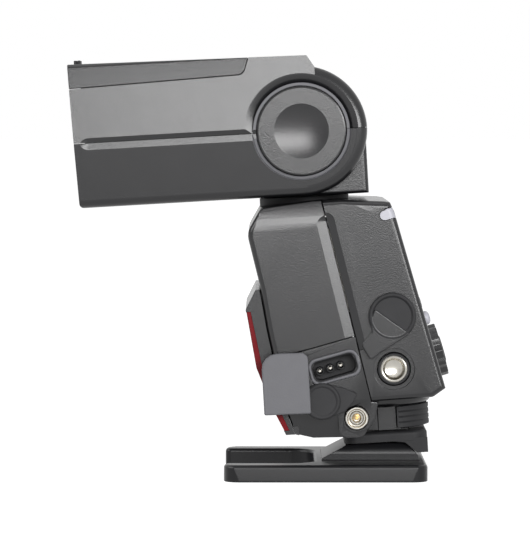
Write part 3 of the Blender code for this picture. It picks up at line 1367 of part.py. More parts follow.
def make_zoom_carriage(head):
    """The flash tube in its reflector on the carriage that the lead screw drives."""
    origin = (CARRIAGE_REAR, 0, SCREW_Z)
    arm_z = [OPTIC_Z + rise for rise in CARRIAGE_ARM]
    carriage = box(
        (CARRIAGE_FRONT, CARRIAGE_REAR), (-ARM_OUTER, ARM_OUTER), (CAVITY_FLOOR + WALL, arm_z[1]),
    )
    for low in (-ARM_OUTER, ARM_OUTER - CARRIAGE_ARM_THICKNESS):
        arm = (low, low + CARRIAGE_ARM_THICKNESS)
        join(carriage, box((REFLECTOR_BACK - REFLECTOR_DEPTH, CARRIAGE_REAR - PLAY), arm, arm_z))
    spots = [(-GUIDE_Y, GUIDE_Z), (GUIDE_Y, GUIDE_Z), (0, SCREW_Z)]
    cut(carriage, *[
        rod(spot, GUIDE_RADIUS + PLAY, -LARGE, LARGE, "X", PIN_STEPS) for spot in spots
    ])
    piece(carriage, "zoom_carriage", BLACK_PLASTIC, head, origin)
    shares = [step / REFLECTOR_STEPS for step in range(-REFLECTOR_STEPS, REFLECTOR_STEPS + 1)]
    height = REFLECTOR_HALF_HEIGHT
    outline = [(REFLECTOR_BACK - REFLECTOR_DEPTH * t * t, OPTIC_Z + height * t) for t in shares]
    depth = REFLECTOR_DEPTH - REFLECTOR_SKIN
    height -= REFLECTOR_SKIN
    dish = REFLECTOR_BACK - REFLECTOR_SKIN
    outline += [(dish - depth * t * t, OPTIC_Z + height * t) for t in reversed(shares)]
    mirror = prism(outline, -REFLECTOR_HALF, REFLECTOR_HALF, "Y")
    piece(mirror, "reflector", STEEL, head, origin)
    length = REFLECTOR_HALF - PLAY
    tube_of_gas = rod((dish - TUBE_FOCUS, OPTIC_Z), TUBE_RADIUS, -length, length, "Y", SMALL_STEPS)
    piece(tube_of_gas, "flash_tube", CLEAR_PLASTIC, head, origin)


def make_pull_out_panels(head):
    """The wide panel and the bounce card that draw out of the front of the top cover."""
    half = CAVITY_HALF - SEAM - PLAY
    front = HEAD_FRONT + PULL_SUNK
    panel = box((front, COVER_END - PANEL_STOP), (-half, half), (PANEL_LOW, PANEL_LOW + PANEL_THICKNESS))
    piece(panel, "wide_panel", CLEAR_PLASTIC, head, (HEAD_FRONT, 0, PANEL_LOW))
    card = box((front, COVER_END - CARD_STOP), (-half, half), (CARD_LOW, CARD_LOW + CARD_THICKNESS))
    tab_x = [HEAD_FRONT + depth for depth in TAB_DEPTH]
    tab_z = (CARD_LOW + CARD_THICKNESS / 2, HEAD_TOP + TAB_HEIGHT)
    join(card, box(tab_x, (-TAB_HALF_WIDTH, TAB_HALF_WIDTH), tab_z))
    piece(card, "bounce_card", WHITE_PLASTIC, head, (HEAD_FRONT, 0, CARD_LOW))


def stand_plate():
    """The horseshoe plate, with its gap open to the front."""
    half = STAND_HALF_WIDTH
    gap = STAND_GAP_HALF
    return prism(rounded(
        (STAND_FRONT, -half, STAND_CORNER), (STAND_REAR, -half, STAND_CORNER),
        (STAND_REAR, half, STAND_CORNER), (STAND_FRONT, half, STAND_CORNER),
        (STAND_FRONT, gap, STAND_TOE_CORNER), (STAND_GAP_END, gap, STAND_GAP_CORNER),
        (STAND_GAP_END, -gap, STAND_GAP_CORNER), (STAND_FRONT, -gap, STAND_TOE_CORNER),
    ), 0, STAND_THICKNESS, "Z")


def stand_shoe():
    """The shoe, in the leaning frame of the foot that slides into it from the rear."""
    sunk = STAND_THICKNESS / 2 - FOOT_HEIGHT
    shoe = prism(rounded(
        (SHOE_FRONT - SHOE_RAMP, sunk), (SHOE_FRONT - SHOE_RAMP, SHOE_RAMP_Z),
        (SHOE_FRONT, SHOE_TOP, SHOE_CORNER), (SHOE_REAR - SHOE_TAIL, SHOE_TOP, SHOE_CORNER),
        (SHOE_REAR, SHOE_TAIL_Z), (SHOE_REAR, sunk),
    ), -SHOE_HALF_WIDTH, SHOE_HALF_WIDTH, "Y")
    foot_room = FOOT_HALF_WIDTH + PLAY
    neck_room = FOOT_NECK_HALF + PLAY
    pin_room = LOCK_PIN_RADIUS + PLAY
    return cut(
        shoe,
        box((-FOOT_HALF_LENGTH - PLAY, LARGE), (-foot_room, foot_room), (-SEAM, FOOT_FLANGE + PLAY)),
        box((-FOOT_CORE_LENGTH - PLAY, LARGE), (-neck_room, neck_room), (0, LARGE)),
        box((LOCK_PIN_X - pin_room, LARGE), (-pin_room, pin_room), (-LOCK_PIN_REACH - PLAY, PAST)),
    )


def make_stand():
    """The table stand, and the threaded bush for a tripod in its underside."""
    turn = Matrix.Rotation(math.radians(-LEAN), 4, "Y")
    lean = Matrix.Translation((0, 0, FOOT_HEIGHT * MM)) @ turn
    stand = join(stand_plate(), moved(stand_shoe(), lean))
    centre = (TRIPOD_X, 0)
    cut(stand, rod(centre, TRIPOD_BUSH_RADIUS + SEAM, -PAST, TRIPOD_DEPTH + SEAM, "Z"))
    piece(stand, "stand", GLOSS_BLACK, None)
    bush = rod(centre, TRIPOD_BUSH_RADIUS, TRIPOD_SUNK, TRIPOD_DEPTH, "Z")
    cut(bush, rod(centre, TRIPOD_RADIUS, -PAST, TRIPOD_DEPTH - TRIPOD_FLOOR, "Z"))
    piece(bush, "tripod_bush", BRASS, None)


def main():
    for old in list(bpy.data.objects):
        bpy.data.objects.remove(old)
    flash = carrier("flash_frame", None, (0, 0, FOOT_HEIGHT), -LEAN)
    panel = carrier("rear_panel", flash, (REAR_FOOT[0], 0, REAR_FOOT[1]), -REAR_TILT)
    turret = carrier("swivel_axis", flash, (HINGE_X, 0, HINGE_Z))
    head = carrier("tilt_axis", turret, (0, 0, 0))
    flash_makers = (
        make_front_shell, make_rear_shell, make_trim_strip, make_base_housing, make_focus_window,
        make_cells, make_battery_door, make_capacitor, make_power_socket, make_sync_terminal,
        make_bracket_bush, make_caps, make_flap, make_foot_block, make_lock, make_shoe_plate,
        make_weather_skirt, make_swivel_washer,
    )
    panel_makers = (make_display, make_keys, make_dial, make_test_button, make_power_switch)
    head_makers = (
        make_head_upper, make_head_lower, make_top_cover, make_lens, make_hub_cap, make_tilt_button,
        make_zoom_drive, make_zoom_carriage, make_pull_out_panels,
    )
    for frame, makers in ((flash, flash_makers), (panel, panel_makers), (head, head_makers)):
        for make in makers:
            make(frame)
    make_neck(turret)
    make_stand()


main()
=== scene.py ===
"""The looks of a hot-shoe flash unit on its table stand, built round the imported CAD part.

Lengths are millimetres until a shape is made. The flash's own frame has x to the rear, y away from
the viewer and z up from the foot, and it leans forward on the stand. Head and neck pieces are drawn
from the tilt hinge, and rear-panel pieces from the foot of the panel with x straight out of it.
"""

import json
import math

import bpy
from mathutils import Matrix, Vector


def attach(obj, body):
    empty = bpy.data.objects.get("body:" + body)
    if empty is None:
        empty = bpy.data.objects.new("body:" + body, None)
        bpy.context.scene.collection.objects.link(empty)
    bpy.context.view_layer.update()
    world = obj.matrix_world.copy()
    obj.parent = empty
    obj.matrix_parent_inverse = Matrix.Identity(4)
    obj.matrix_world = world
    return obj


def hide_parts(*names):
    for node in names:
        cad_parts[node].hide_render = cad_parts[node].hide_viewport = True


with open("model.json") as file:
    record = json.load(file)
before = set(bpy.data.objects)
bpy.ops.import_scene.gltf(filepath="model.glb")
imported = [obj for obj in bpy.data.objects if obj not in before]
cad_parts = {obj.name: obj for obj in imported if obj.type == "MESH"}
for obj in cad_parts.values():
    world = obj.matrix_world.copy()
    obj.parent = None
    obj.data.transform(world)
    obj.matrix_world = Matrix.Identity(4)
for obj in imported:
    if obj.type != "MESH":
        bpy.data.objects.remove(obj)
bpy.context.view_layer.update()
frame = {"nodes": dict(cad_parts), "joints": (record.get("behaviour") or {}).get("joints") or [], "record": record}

bl_info = {
    "name": "Hot-shoe flash",
    "version": (1, 0, 0),
    "blender": (4, 5, 0),
    "location": "View3D > Sidebar > Flash",
    "description": "Builds the finished pieces of a hot-shoe flash unit on its table stand",
    "category": "Add Mesh",
}

# Metres in a millimetre
MM = 0.001
# Lengths in mm: how far cutters reach past a face, a length past everything, seams, gaps too small to see
PAST = 1.0
LARGE = 120.0
SEAM = 0.12
NEAR = 0.05
HAIR = 0.03
# Merging distances in metres
WELD = 1e-6
SLIVER = 1e-5
# Edit-mode steps that most shapes end with
MERGE = (bpy.ops.mesh.remove_doubles, {"threshold": WELD})
FACE_OUT = (bpy.ops.mesh.normals_make_consistent, {"inside": False})
# Angles in degrees: smooth shading of drawn shapes, of the front shell and of CAD copies, and bevelled edges
SMOOTH = 10.0
BODY_SMOOTH = 14.0
CAD_SMOOTH = 25.0
BEVEL_FROM = 32.0
ARC_STEPS = 12
AXES = {"X": (1, 2, 0), "Y": (0, 2, 1), "Z": (0, 1, 2)}
BODY_OF = {node: body for body, nodes in frame["record"]["behaviour"]["bodies"].items() for node in nodes}
JOINTS = {joint["name"]: joint for joint in frame["joints"]}

# Frames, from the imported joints: the leaning flash, its head and its rear panel
UPRIGHT = Vector(JOINTS["head_swivel"]["axis"])
OUTWARD = Vector(JOINTS["dial_turn"]["axis"])
LEAN = Matrix.Rotation(math.atan2(UPRIGHT.x, UPRIGHT.z), 4, "Y")
FOOT_HEIGHT = 8.0
FLASH = Matrix.Translation((0, 0, FOOT_HEIGHT * MM)) @ LEAN
HEAD = Matrix.Translation(JOINTS["head_tilt"]["pos_m"]) @ LEAN
PANEL_FOOT = FLASH @ Vector((19.6 * MM, 0, 23.4 * MM))
PANEL = Matrix.Translation(PANEL_FOOT) @ Matrix.Rotation(math.atan2(-OUTWARD.z, OUTWARD.x), 4, "Y")
WORLD = Matrix.Identity(4)

# Head, from the hinge
HEAD_HALF = 37.0
HEAD_SLIM = 35.3
HEAD_TOP = 25.8
HEAD_BOTTOM = -21.05
HEAD_FRONT = -74.7
FRONT_RAKE = 1.4
COVER_LINE = 17.7
COVER_RISE = 1.5
COVER_END = -17.7
COVER_CORNER = 2.6
COVER_TOP = 34.7
COVER_ROUND = 1.6
COVER_ROOM = ((-LARGE, COVER_END - 2), (-33.0, 33.0), (0, 22.9))
HEAD_ROUND = 1.2
BOTTOM_RADIUS = 3.0
BOTTOM_END = (-6, 0.4)
REAR_STEPS = 88
COVER_BACK = (-15.8, 24.75)
REAR_LIP = [(3.0, 24.4), (5.4, 20.5)]
LIP_RADIUS = 1.5
HUB_RADIUS = 21.45
HUB_ROOT = 26.3
EAR_INNER = 28.3
AXLE_ROOM = 5.3
AXLE_END = 30.3
NECK_ROOM = 21.6
ROOM_FRONT = 0.86
POCKET_RADIUS = 14.72
POCKET_FLOOR = 31.5
POCKET_PAST = 5
CAP_POCKET = 33.8
CAVITY = ((-71.3, -24.05), (-33.3, 33.3))
CAVITY_FLOOR = -19.05
CAVITY_ROOF = 16.1
WINDOW_HALF = 31.0
WINDOW_Z = (-17.25, 14.3)
COVE_RADIUS = 19.3
COVE_FOOT = 15.75
COVE_START = 0.06
COVE_LEAST = 0.4
COVE_FULL = 9.0
COVE_SLOPE = 0.15
# Cutter profile for the lip round each hub's pocket; the faces it cuts are painted light grey, a painted highlight on
# the polished lip
LIP_PROFILE = [
    (POCKET_RADIUS - 0.2, 3), (COVE_FOOT + 0.25, 3), (COVE_FOOT + 0.25, -0.35), (COVE_FOOT + 0.1, -0.45),
    (COVE_FOOT - 0.1, -0.12), (POCKET_RADIUS + 0.1, -0.12), (POCKET_RADIUS - 0.2, -0.4),
]
GROOVE_HIGH = 3.0
GROOVE_LOW = -5.3
GROOVE_APEX = 0.05
GROOVE_FRONT = -73.3
GROOVE_REAR = -POCKET_RADIUS + 0.3
GROOVE_PAST = 0.2
BUTTON_RADIUS = 14.5
BUTTON_FACE = -37.7
DIMPLE_RADIUS = 8.9
DIMPLE_DEPTH = 1.1
DIMPLE_EDGE = 0.15
# Rims as (inset, drop) steps
BUTTON_RIM = [(0.6, 0), (0.2, 0.12), (0, 0.5)]
BUTTON_DEPTH = 4.0
BUTTON_BORE = 12.5
BUTTON_WALL = 2.4
CAP_FLOOR = 34.2
CAP_RING = [(11.4, 0), (11.1, 0.4), (10.8, 0)]
NECK_HALF = 27.6
NECK_EDGE = 1.6
NECK_AXLE = 10
LENS_Z = (-18.65, 15.7)
LENS_HALF = 32.9
LENS_BACK = -68.9
# Depth of a ridge's foot and its offset, and depth of its crest and its share of the spacing
LENS_VALLEY = (-70.3, 0.15)
LENS_CREST = (-70.9, 0.8)
CAD_TAB = ((HEAD_FRONT, -69.5), (-6, 6), (HEAD_TOP, LARGE))
TAB_NOTCH = ((-LARGE, HEAD_FRONT + 4.6), (-5.4, 5.4), (21.9, LARGE))
TAB_Y = (-5.1, 5.1)
TAB_TEETH = [(-74.1, -73.2), (-72.9, -72.0)]
TAB_Z = (24.9, 26.6, 27.5)

# Body
BODY_HALF = 35.0
SEAM_FOOT = (-4.5, 19.3)
SEAM_SLOPE = math.tan(math.radians(10.73))
LEVEL_SLOPE = math.tan(math.radians(12.5))
GROOVE_LEFT = -4.1
GROOVE_RIGHT = 3.1
GROOVE_TOP = 83.0
GROOVE_FOOT = 36.0
REAR_TILT = 13.0
STRIP_FOOT = (6.48, 80.2)
STRIP_REACH = 4.9
STRIP_HALF = 1.55
STRIP_DEPTH = 1.4
KEY_FACE = 0.35
SWIVEL_X = -22.3
# Ring of black rubber round the swivel on the body top, its radii and heights: painted shade, filling the gap under the
# head where it lies in shadow
SHADE_FILL = (13.0, 14.9)
SHADE_FILL_Z = (83.6, 86.4)
CHIN_HALF = 31.5
CHIN = [(-30.2, 9.6), (-28.6, 9.1), (-28.6, 12.2), (-30.6, 12.2)]
BODY_SIDE = [
    (-36.9, 84.0, 2.5), (-41.9, 76.3, 6.0), (-38.4, 57.5), (-36.8, 44.3), (-34.8, 32.0), (-32.0, 18.0),
    (-29.5, 9.5), (-24.0, 7.9), (-9.5, 7.4, 2.5), (-5.4, 12.0), (-4.6, 19.0), (15.6, 19.3, 2.5), (19.9, 22.0),
    (19.6, 23.4), (6.46, 80.3), (5.16, 83.6), (3.16, 84.05), (-10.8, 85.3), (-20.0, 85.3),
]
SHOULDER = [(-35.0, 76.5), (-34.9, 78.5), (-34.65, 80.5), (-34.3, 82.5), (-33.8, 84.5), (-33.4, 86.0)]

# Terminals and rubber covers on the near side
SYNC_CENTRE = (-9.6, 13.9)
BRACKET_CENTRE = (3.4, 29.3)
SOCKET_CENTRE = (-15.9, 30.9)
PIN_PITCH = 3.5
PIN_SHIFT = -1.4
PIN_STEPS = 32
PIN_TUBE = [(0.85, -29.0), (1.35, -29.0), (1.35, -33.0), (1.2, -33.2), (1.0, -33.2), (0.85, -33.0)]
PIN_TRIM = [(0.4, -28.5), (1.6, -28.5), (1.6, -40.0), (0.4, -40.0)]
# Rim round the socket's mouth, raised and chamfered; its light grey finish is a painted highlight on the chamfered edge
SOCKET_HIGHLIGHT_RIM = (16.9, 8.9, 2.9)
SOCKET_MOUTH = (14.9, 6.9, 2.2)
SOCKET_Y = (-34.8, -33.0)
SOCKET_EDGE = 0.45
SYNC_PROFILE = [
    (0, -29.0), (0, -31.6), (1.2, -31.9), (1.5, -33.4), (2.0, -33.7), (2.4, -33.2), (2.65, -33.2), (2.9, -34.3),
    (3.1, -34.6), (3.5, -34.6), (3.75, -34.3), (3.75, -27.1), (2.0, -27.1), (2.0, -29.0),
]
BUSH_PROFILE = [
    (0, -27.1), (5.2, -27.1), (5.2, -34.3), (4.9, -34.4), (4.25, -34.4), (4.15, -34.6), (3.9, -34.7),
    (3.6, -34.6), (2.9, -33.4), (2.9, -30.4), (0, -29.2),
]
COLLAR_PROFILE = [(4.3, -33.0), (5.22, -33.0), (5.22, -34.45), (5.0, -34.6), (4.5, -34.6), (4.3, -34.45)]
BOSS = [
    (-14.4, 10.8, 2.0), (-11.0, 8.6, 2.5), (-6.0, 9.6, 3.0), (-3.6, 13.0, 4.0), (-2.2, 18.9, 0.8),
    (-9.6, 19.4, 1.0), (-13.5, 16.5, 1.5),
]
BOSS_FACE = -33.2
BOSS_DEPTH = 7
BOSS_EDGE = 0.6
BOSS_BORE = 4.05
# For each cap: centre, radius, outline of its strap, how far the strap is sunk, dish of the top, strap's slot
CAPS = {
    # The bracket cap's strap takes the shells' satin ABS finish though it is the cap's own rubber: painted light on the
    # lit half of the folded cover
    "bracket_cap": (
        (3.8, 46.6), 7.7,
        [(-1.8, 49.3, 0.5), (-3.6, 45.5, 1.0), (-3.0, 41.8, 1.5), (-6.8, 38.0, 1.2), (-4.0, 32.6, 1.2),
         (-1.1, 34.9, 1.5), (3.5, 37.4, 3.0), (9.1, 40.6, 0.5)],
        0.1, 0.6, "black_abs",
    ),
    "sync_cap": (
        (-20.6, 20.2), 6.0,
        [(-17.5, 25.4, 1.0), (-12.7, 23.9, 2.0), (-8.9, 21.9, 0.6), (-10.6, 19.2, 1.0), (-13.4, 16.4, 2.0),
         (-17.0, 15.2, 1.0), (-21.0, 20.0, 1.0)],
        0.9, 0.25, "soft_rubber",
    ),
}
CAP_OUTER = -37.4
CAP_INNER = -35.4
CAP_RIM = 1.2
CAP_CHAMFER = 0.4
CAP_ROUND = [(0, 0.6), (0.2, 0.2), (0.6, 0)]
CAP_SLOPE = 0.3
DISH_STEP = 0.4
STRAP_BACK = 0.1
STRAP_EDGE = 0.35

# Foot: the block reaches forward to the base, and the skirt's apron wraps round the shoe
FILL_HALF = 12.4
FOOT_FILL = [(0, 18.5), (-4.2, 18.5), (-5.0, 12.2), (-8.4, 8.0), (-2.0, 7.4), (0, 7.4)]
FLANGE = [(0, 15.3), (14.4, 15.3), (15.6, 15.8), (16.2, 16.8), (16.3, 18.6), (16.3, 18.9), (0, 18.9)]
FLANGE_ROOM = ((-7.5, LARGE), (-LARGE, LARGE), (0, LARGE))
LEVER_INNER = 9.5
LEVER_OUTER = 15.4
LEVER_Z = (8.1, 15.1)
LEVER_RIBS = (9.8, 11.6, 13.4)
RIB_HALF = 0.3
LEVER_TRIM = 0.4
LEVER_SPAN = (0, 30)
LEVER_ROOM = ((4.2, 20), (-14.5, -1.4), (0, 20))
LEVER_SLOT = ((4.0, 20), (-20, 10.0), (7.95, 15.22))
SKIRT_PLAN = [(-13.8, -15.6, 3.0), (14.05, -15.6, 6.0), (14.05, 15.6, 6.0), (-13.8, 15.6, 3.0)]
SKIRT_SPAN = (-10, 20)
SKIRT_EDGE = 1.2
SKIRT_TOP = 6.9
SKIRT_CORE = 11.5
SKIRT_SIDE = (15.08, 15.45)
SKIRT_LIP = [(3.0, 4.6), (3.0, 3.6), (6.4, 3.2), (10.2, -0.4), (13.9, -0.4), (13.9, 4.6)]

# Stand, seen from its end: a flat plate with a domed shoe
SHOE_SECTION = [
    (-32.1, -0.6), (32.1, -0.6), (31.62, 5.7), (15.03, 5.7), (15.03, 11.75, 4.5), (-15.03, 11.75, 4.5),
    (-15.03, 5.7), (-31.62, 5.7),
]
PLATE_TOP = 5.6
PLATE_EDGE = 1.2
SHOE_HALF = 15.2
SHOE_FRONT = -22.5

# Focus-assist window: the line of its red front
WINDOW_SKIN = [(-43.5, 50.4), (-41.3, 32.0), (-36.6, 18.0), (-33.4, 11.0)]
WINDOW_DEPTH = [1.3, 1.9, 2.0, 1.6]
WINDOW_SINK = 0.15
WINDOW_NARROW = 0.995

# Stage: lamps as azimuth and elevation in degrees, distance and size in metres, power in watts
LAMPS = {
    "key_softbox": ((19, 11.5), 1.3, (1.3, 0.36), 18.5),
    "top_softbox": ((-30, 70), 1.4, (0.8, 0.8), 3),
    "side_softbox": ((-80, 30), 1.2, (0.9, 0.6), 7),
}
LAMP_AIM = Vector((-0.04, 0, 0.075))
ROOM_LIGHT = 0.12
FLOOR_SIZE = 30
FLOOR_GLOW = {"From Min": 0.15, "From Max": 0.6, "To Min": 0.9, "To Max": 1.0}
CAMERA_PLACE = (-0.0403, -1.1, 0.120)
CAMERA_DROP = 2.64
CAMERA_LENS = 221.5

# How far mottling carries colour and roughness, and how acrylic lets light through
SHADE_SPREAD = (0.88, 1.12)
GLOSS_SPREAD = (0.9, 1.1)
CLEARNESS = 0.92
ACRYLIC_INDEX = 1.49

# Finishes, one for each slot of the record. Each row is one real material:
# name, colour property, roughness, metallic, grain in mm, grain depth in mm, mottling in mm, specular.
FINISHES = {
    # ABS from a spark-eroded mould: satin black, an even fine grain that spreads each highlight
    # Also laid on the bracket cap's rubber strap as painted light on the lit half of the fold
    "black_abs": ("abs_spark_eroded", "abs", 0.24, 0.0, 0.45, 0.03, 9.0, 0.5),
    # Moulded silicone rubber: matt, nearly no highlight, a little dust in the grain
    "soft_rubber": ("silicone_rubber_black", "rubber", 0.62, 0.0, 0.6, 0.02, 5.0, 0.35),
    # Moulded thermoplastic rubber: greyer, holds a soft sheen
    # Also laid on the hub lips and the socket rim, where its light grey is a painted highlight
    "grey_rubber": ("thermoplastic_rubber_grey", "flap", 0.5, 0.0, 0.5, 0.02, 5.0, 0.45),
    # Polished ABS: black gloss with a faint orange peel
    "gloss_black": ("abs_polished", "gloss", 0.3, 0.0, 1.4, 0.006, 12.0, 0.25),
    # Polycarbonate dyed deep red, polished
    "red_window": ("polycarbonate_red", "window", 0.25, 0.0, 2.0, 0.004, 8.0, 0.15),
    # Painted polycarbonate: pale satin
    "pale_plastic": ("polycarbonate_pale", "pale", 0.4, 0.0, 0.6, 0.01, 6.0, 0.5),
    # Polished acrylic: clear, a faint cool cast
    "clear_plastic": ("acrylic_clear", "acrylic", 0.06, 0.0, 3.0, 0.002, 12.0, 0.5),
    # Polystyrene: white satin sheet
    "white_plastic": ("polystyrene_white", "white", 0.45, 0.0, 0.7, 0.01, 6.0, 0.5),
    # Solder resist over glass fibre: green, with the weave just showing
    "circuit_board": ("solder_resist_green", "board", 0.4, 0.0, 0.8, 0.02, 4.0, 0.5),
    # Nickel plate on turned steel: bright with fine tool marks
    "bright_steel": ("nickel_plate", "nickel", 0.24, 1.0, 0.5, 0.006, 3.0, 0.5),
    # Vapour-coated aluminium: nearly a mirror
    "mirror_aluminium": ("aluminium_mirror", "mirror", 0.1, 1.0, 2.0, 0.003, 8.0, 0.5),
    # Turned brass: warm, a little dulled
    "brass": ("brass_turned", "brass", 0.28, 1.0, 0.5, 0.006, 3.0, 0.5),
    # Lacquered steel jacket, left plain
    "cell_jacket": ("steel_lacquered", "jacket", 0.3, 0.6, 1.0, 0.004, 8.0, 0.5),
}


def linear(code):
    """Turns an sRGB hex colour into Blender's linear red, green and blue."""
    values = [int(code[start:start + 2], 16) / 255 for start in (1, 3, 5)]
    return tuple(v / 12.92 if v <= 0.04045 else ((v + 0.055) / 1.055) ** 2.4 for v in values)


def colour_property(name, description, code):
    return bpy.props.FloatVectorProperty(
        name=name, description=description, subtype="COLOR", size=3, min=0, max=1, default=linear(code),
    )


def length_property(name, description, millimetres):
    return bpy.props.FloatProperty(name=name, description=description, default=millimetres * MM, unit="LENGTH")


class FlashColours(bpy.types.PropertyGroup):
    """The colours of the flash's materials."""

    abs: colour_property("Shells", "Black moulded shells of head and body", "#161618")
    rubber: colour_property("Rubber", "Rubber caps, keys and skirt", "#1b1b1d")
    flap: colour_property("Flap", "Grey rubber of the socket flap", "#5c5c60")
    gloss: colour_property("Stand", "Polished black of stand and socket", "#161618")
    window: colour_property("Window", "Red focus-assist window", "#6e0812")
    pale: colour_property("Strip", "Pale strip across the rear", "#b4b4bc")
    acrylic: colour_property("Acrylic", "Clear lens and panels", "#eef2f5")
    white: colour_property("White", "Bounce card and display", "#e6e6e2")
    board: colour_property("Board", "Circuit board", "#1d5a35")
    nickel: colour_property("Nickel", "Plated terminals and plates", "#b0ada6")
    mirror: colour_property("Reflector", "Coated reflector", "#eaeaea")
    brass: colour_property("Brass", "Pins and tripod bush", "#cfae6e")
    jacket: colour_property("Cells", "Jackets of the cells", "#8a8d94")


class FlashSizes(bpy.types.PropertyGroup):
    """The sizes of the details that the CAD part leaves plain."""

    soft_edge: length_property("Soft edge", "Rounding of moulded edges", 0.22)
    body_edge: length_property("Body edge", "Rounding round the sides of the body", 2.0)
    hub_edge: length_property("Hub edge", "Rounding of the hubs' rims", 3.4)
    cove_depth: length_property("Cove depth", "Depth of the dished ring round each hub", 1.5)
    head_groove: length_property("Head groove", "Depth of the groove along the head's seam", 0.46)
    body_groove: length_property("Body groove", "Depth of the groove along the body's seam", 1.0)
    lens_ridge: length_property("Lens ridge", "Spacing of the ridges in the front lens", 1.6)


def sizes():
    return bpy.context.scene.flash_sizes


def add(tree, kind, values=None, links=None, **settings):
    """Adds a node with its settings, its sockets' values and the links into it."""
    made = tree.nodes.new(kind)
    for name, value in settings.items():
        setattr(made, name, value)
    for socket, value in (values or {}).items():
        made.inputs[socket].default_value = value
    for socket, source in (links or {}).items():
        tree.links.new(source, made.inputs[socket])
    return made


def finish(slot):
    """The material for one slot of the record, made on first use."""
    name, colour, roughness, metallic, grain, depth, mottle, specular = FINISHES[slot]
    if name in bpy.data.materials:
        return bpy.data.materials[name]
    made = bpy.data.materials.new(name)
    made.use_nodes = True
    tree = made.node_tree
    shader = tree.nodes["Principled BSDF"]
    shader.inputs["Metallic"].default_value = metallic
    shader.inputs["Specular IOR Level"].default_value = specular
    if slot == "clear_plastic":
        shader.inputs["Transmission Weight"].default_value = CLEARNESS
        shader.inputs["IOR"].default_value = ACRYLIC_INDEX
    base = Vector(getattr(bpy.context.scene.flash_colours, colour))
    place = add(tree, "ShaderNodeTexCoord").outputs["Object"]
    broad = add(tree, "ShaderNodeTexNoise", {"Scale": 1 / (mottle * MM), "Detail": 3}, {"Vector": place})
    fine = add(tree, "ShaderNodeTexNoise", {"Scale": 1 / (grain * MM), "Detail": 2}, {"Vector": place})
    dark, light = ((*base * share, 1) for share in SHADE_SPREAD)
    shade = add(tree, "ShaderNodeMix", {6: dark, 7: light}, {0: broad.outputs["Fac"]}, data_type="RGBA")
    low, high = (roughness * share for share in GLOSS_SPREAD)
    gloss = add(tree, "ShaderNodeMapRange", {"To Min": low, "To Max": high}, {"Value": broad.outputs["Fac"]})
    heights = {"Strength": 1.0, "Distance": depth * MM}
    relief = add(tree, "ShaderNodeBump", heights, {"Height": fine.outputs["Fac"]})
    tree.links.new(shade.outputs[2], shader.inputs["Base Color"])
    tree.links.new(gloss.outputs["Result"], shader.inputs["Roughness"])
    tree.links.new(relief.outputs["Normal"], shader.inputs["Normal"])
    return made


def unit_towards(start, end):
    run = math.hypot(end[0] - start[0], end[1] - start[1])
    return (end[0] - start[0]) / run, (end[1] - start[1]) / run


def rounded(*corners, steps=10):
    """An outline through (a, b) and (a, b, radius) corners, with an arc where a radius is given."""
    outline = []
    for index, corner in enumerate(corners):
        if len(corner) == 2:
            outline.append(corner)
            continue
        a, b, radius = corner
        back = unit_towards(corner, corners[index - 1])
        ahead = unit_towards(corner, corners[(index + 1) % len(corners)])
        half = math.acos(back[0] * ahead[0] + back[1] * ahead[1]) / 2
        middle = unit_towards((0, 0), (back[0] + ahead[0], back[1] + ahead[1]))
        reach = radius / math.sin(half)
        touch = radius / math.tan(half)
        centre = (a + middle[0] * reach, b + middle[1] * reach)
        first = math.atan2(b + back[1] * touch - centre[1], a + back[0] * touch - centre[0])
        last = math.atan2(b + ahead[1] * touch - centre[1], a + ahead[0] * touch - centre[0])
        sweep = (last - first + math.pi) % (2 * math.pi) - math.pi
        for step in range(steps + 1):
            turn = first + sweep * step / steps
            outline.append((centre[0] + radius * math.cos(turn), centre[1] + radius * math.sin(turn)))
    return outline


def ring(radius, steps=96, centre=(0, 0)):
    """The points of a circle in an outline's plane."""
    turns = [2 * math.pi * step / steps for step in range(steps)]
    return [(centre[0] + radius * math.cos(t), centre[1] + radius * math.sin(t)) for t in turns]


def only(made):
    """Makes one object the only selected one and the active one."""
    bpy.ops.object.select_all(action="DESELECT")
    made.select_set(True)
    bpy.context.view_layer.objects.active = made


def start(outline, low, across, fill):
    """A circle with a vertex for each corner, drawn out into the outline, square to one axis."""
    bpy.ops.object.select_all(action="DESELECT")
    bpy.ops.mesh.primitive_circle_add(vertices=len(outline), fill_type=fill)
    made = bpy.context.object
    first, second, along = AXES[across]
    for vertex, corner in zip(made.data.vertices, outline):
        vertex.co[first] = corner[0] * MM
        vertex.co[second] = corner[1] * MM
        vertex.co[along] = low * MM
    return made


def edit_all(*steps):
    """Runs mesh operators, given as (operator, settings) pairs, on the whole of the active mesh."""
    bpy.ops.object.mode_set(mode="EDIT")
    for operator, settings in steps:
        bpy.ops.mesh.select_all(action="SELECT")
        operator(**settings)
    bpy.ops.object.mode_set(mode="OBJECT")


def slab(outline, low, high, across="Y"):
    """A straight solid with this outline, extruded from low to high along one axis."""
    made = start(outline, low, across, "NGON")
    lift = Vector((0, 0, 0))
    lift[AXES[across][2]] = (high - low) * MM
    edit_all((bpy.ops.mesh.extrude_region_move, {"TRANSFORM_OT_translate": {"value": lift}}), FACE_OUT)
    return made


def block(x, y, z):
    """A box from three (low, high) pairs."""
    return slab([(x[0], z[0]), (x[1], z[0]), (x[1], z[1]), (x[0], z[1])], *y)


